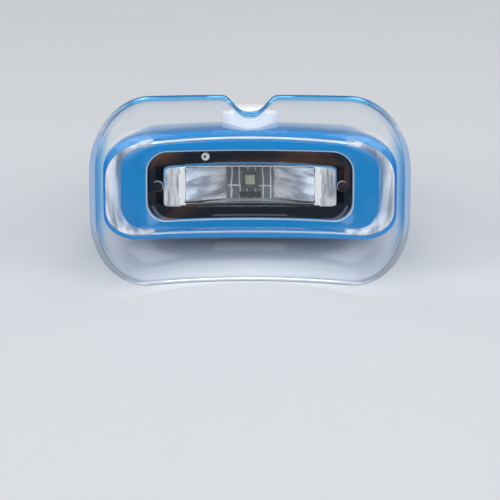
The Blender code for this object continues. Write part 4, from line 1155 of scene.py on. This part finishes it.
def aim(holder, place):
    """Puts a lamp or the camera in its place, looking at the aim point."""
    bpy.context.scene.collection.objects.link(holder)
    holder.location = place
    holder.rotation_euler = (AIM - Vector(place)).to_track_quat("-Z", "Y").to_euler()


def add_floor(shade):
    """The pale floor, bent up into a wall behind the lamp."""
    floor = start("floor", bpy.ops.mesh.primitive_plane_add, size=FLOOR_SIZE, location=(0, 0, 0))
    with editing():
        choose(lambda line: all(vert.co.y > SWEEP_RADIUS for vert in line.verts), "EDGE")
        bpy.ops.mesh.extrude_region_move(TRANSFORM_OT_translate={"value": (0, 0, WALL_HEIGHT)})
        choose(lambda line: all(vert.co.y > SWEEP_RADIUS > vert.co.z for vert in line.verts), "EDGE")
        bpy.ops.mesh.bevel(offset=SWEEP_RADIUS, segments=SWEEP_STEPS, affect="EDGES")
    bpy.ops.object.shade_smooth_by_angle(angle=WIDE_SMOOTH_ANGLE)
    floor.data.materials.append(material("stage_paper", shade, 0.6, mottle=0.01, grain=4.0, bump=0.0))


def add_lamps():
    """The studio's area lamps."""
    for name, place, size, energy in STUDIO_LAMPS:
        lamp = bpy.data.lights.new(name, "AREA")
        lamp.shape = "RECTANGLE"
        lamp.size, lamp.size_y = size
        lamp.energy = energy
        aim(bpy.data.objects.new(name, lamp), place)


def add_world(scene):
    """The studio's own light, a little brighter where it is seen or reflected than where it lights."""
    world = bpy.data.worlds.new("studio")
    scene.world = world
    world.use_nodes = True
    tree = world.node_tree
    rays = add_node(tree, "LightPath", {})
    seen = rays.outputs["Is Camera Ray"]
    for kind in ("Is Glossy Ray", "Is Transmission Ray"):
        either = add_node(tree, "Math", {0: seen, 1: rays.outputs[kind]}, operation="MAXIMUM")
        seen = either.outputs["Value"]
    level = add_node(tree, "MapRange", {"Value": seen, "To Min": WORLD_LIGHT, "To Max": WORLD_SEEN})
    fill(tree, tree.nodes["Background"],
         {"Color": (*WORLD_COLOUR, 1.0), "Strength": level.outputs["Result"]})


def add_camera(scene):
    """The camera, with the photograph's view of the lamp."""
    view = bpy.data.cameras.new("camera")
    camera = bpy.data.objects.new("camera", view)
    turn = math.radians(CAMERA_ELEVATION)
    aim(camera, AIM + CAMERA_DISTANCE * Vector((0, -math.cos(turn), math.sin(turn))))
    view.sensor_width = CAMERA_SENSOR
    view.lens = CAMERA_LENS
    view.clip_start = CAMERA_CLIP
    scene.camera = camera


class LAMP_OT_stage(bpy.types.Operator):
    """Set the pale floor, the soft studio light and the camera"""

    bl_idname = "lamp.stage"
    bl_label = "Stage, Light and Camera"

    def execute(self, context):
        add_floor(context.scene.lamp_looks.floor)
        add_lamps()
        add_world(context.scene)
        add_camera(context.scene)
        context.scene.view_settings.view_transform = "Standard"
        context.scene.view_settings.look = "None"
        return {"FINISHED"}


class LAMP_PT_panel(bpy.types.Panel):
    """The lamp's operators and settings"""

    bl_idname = "LAMP_PT_panel"
    bl_label = "Teeth Whitening Lamp"
    bl_space_type = "VIEW_3D"
    bl_region_type = "UI"
    bl_category = "Lamp"

    def draw(self, context):
        for operator in OPERATORS:
            self.layout.operator(operator.bl_idname)
        for settings in (context.scene.lamp_sizes, context.scene.lamp_looks):
            for name in settings.__annotations__:
                self.layout.prop(settings, name)


OPERATORS = (LAMP_OT_stage, LAMP_OT_shield, LAMP_OT_casing, LAMP_OT_window, LAMP_OT_lens, LAMP_OT_light,
             LAMP_OT_button, LAMP_OT_inside)
CLASSES = (LampSizes, LampLooks, *OPERATORS, LAMP_PT_panel)


def register():
    """Registers the classes and the scene's settings."""
    for item in CLASSES:
        bpy.utils.register_class(item)
    bpy.types.Scene.lamp_sizes = bpy.props.PointerProperty(type=LampSizes)
    bpy.types.Scene.lamp_looks = bpy.props.PointerProperty(type=LampLooks)


def unregister():
    """Removes the classes and the scene's settings."""
    del bpy.types.Scene.lamp_sizes
    del bpy.types.Scene.lamp_looks
    for item in reversed(CLASSES):
        bpy.utils.unregister_class(item)


def main():
    """Makes everything in order."""
    register()
    bpy.ops.lamp.stage()
    bpy.ops.lamp.shield()
    bpy.ops.lamp.casing()
    bpy.ops.lamp.window()
    bpy.ops.lamp.lens()
    bpy.ops.lamp.light()
    bpy.ops.lamp.button()
    bpy.ops.lamp.inside()


if __name__ == "__main__":
    main()
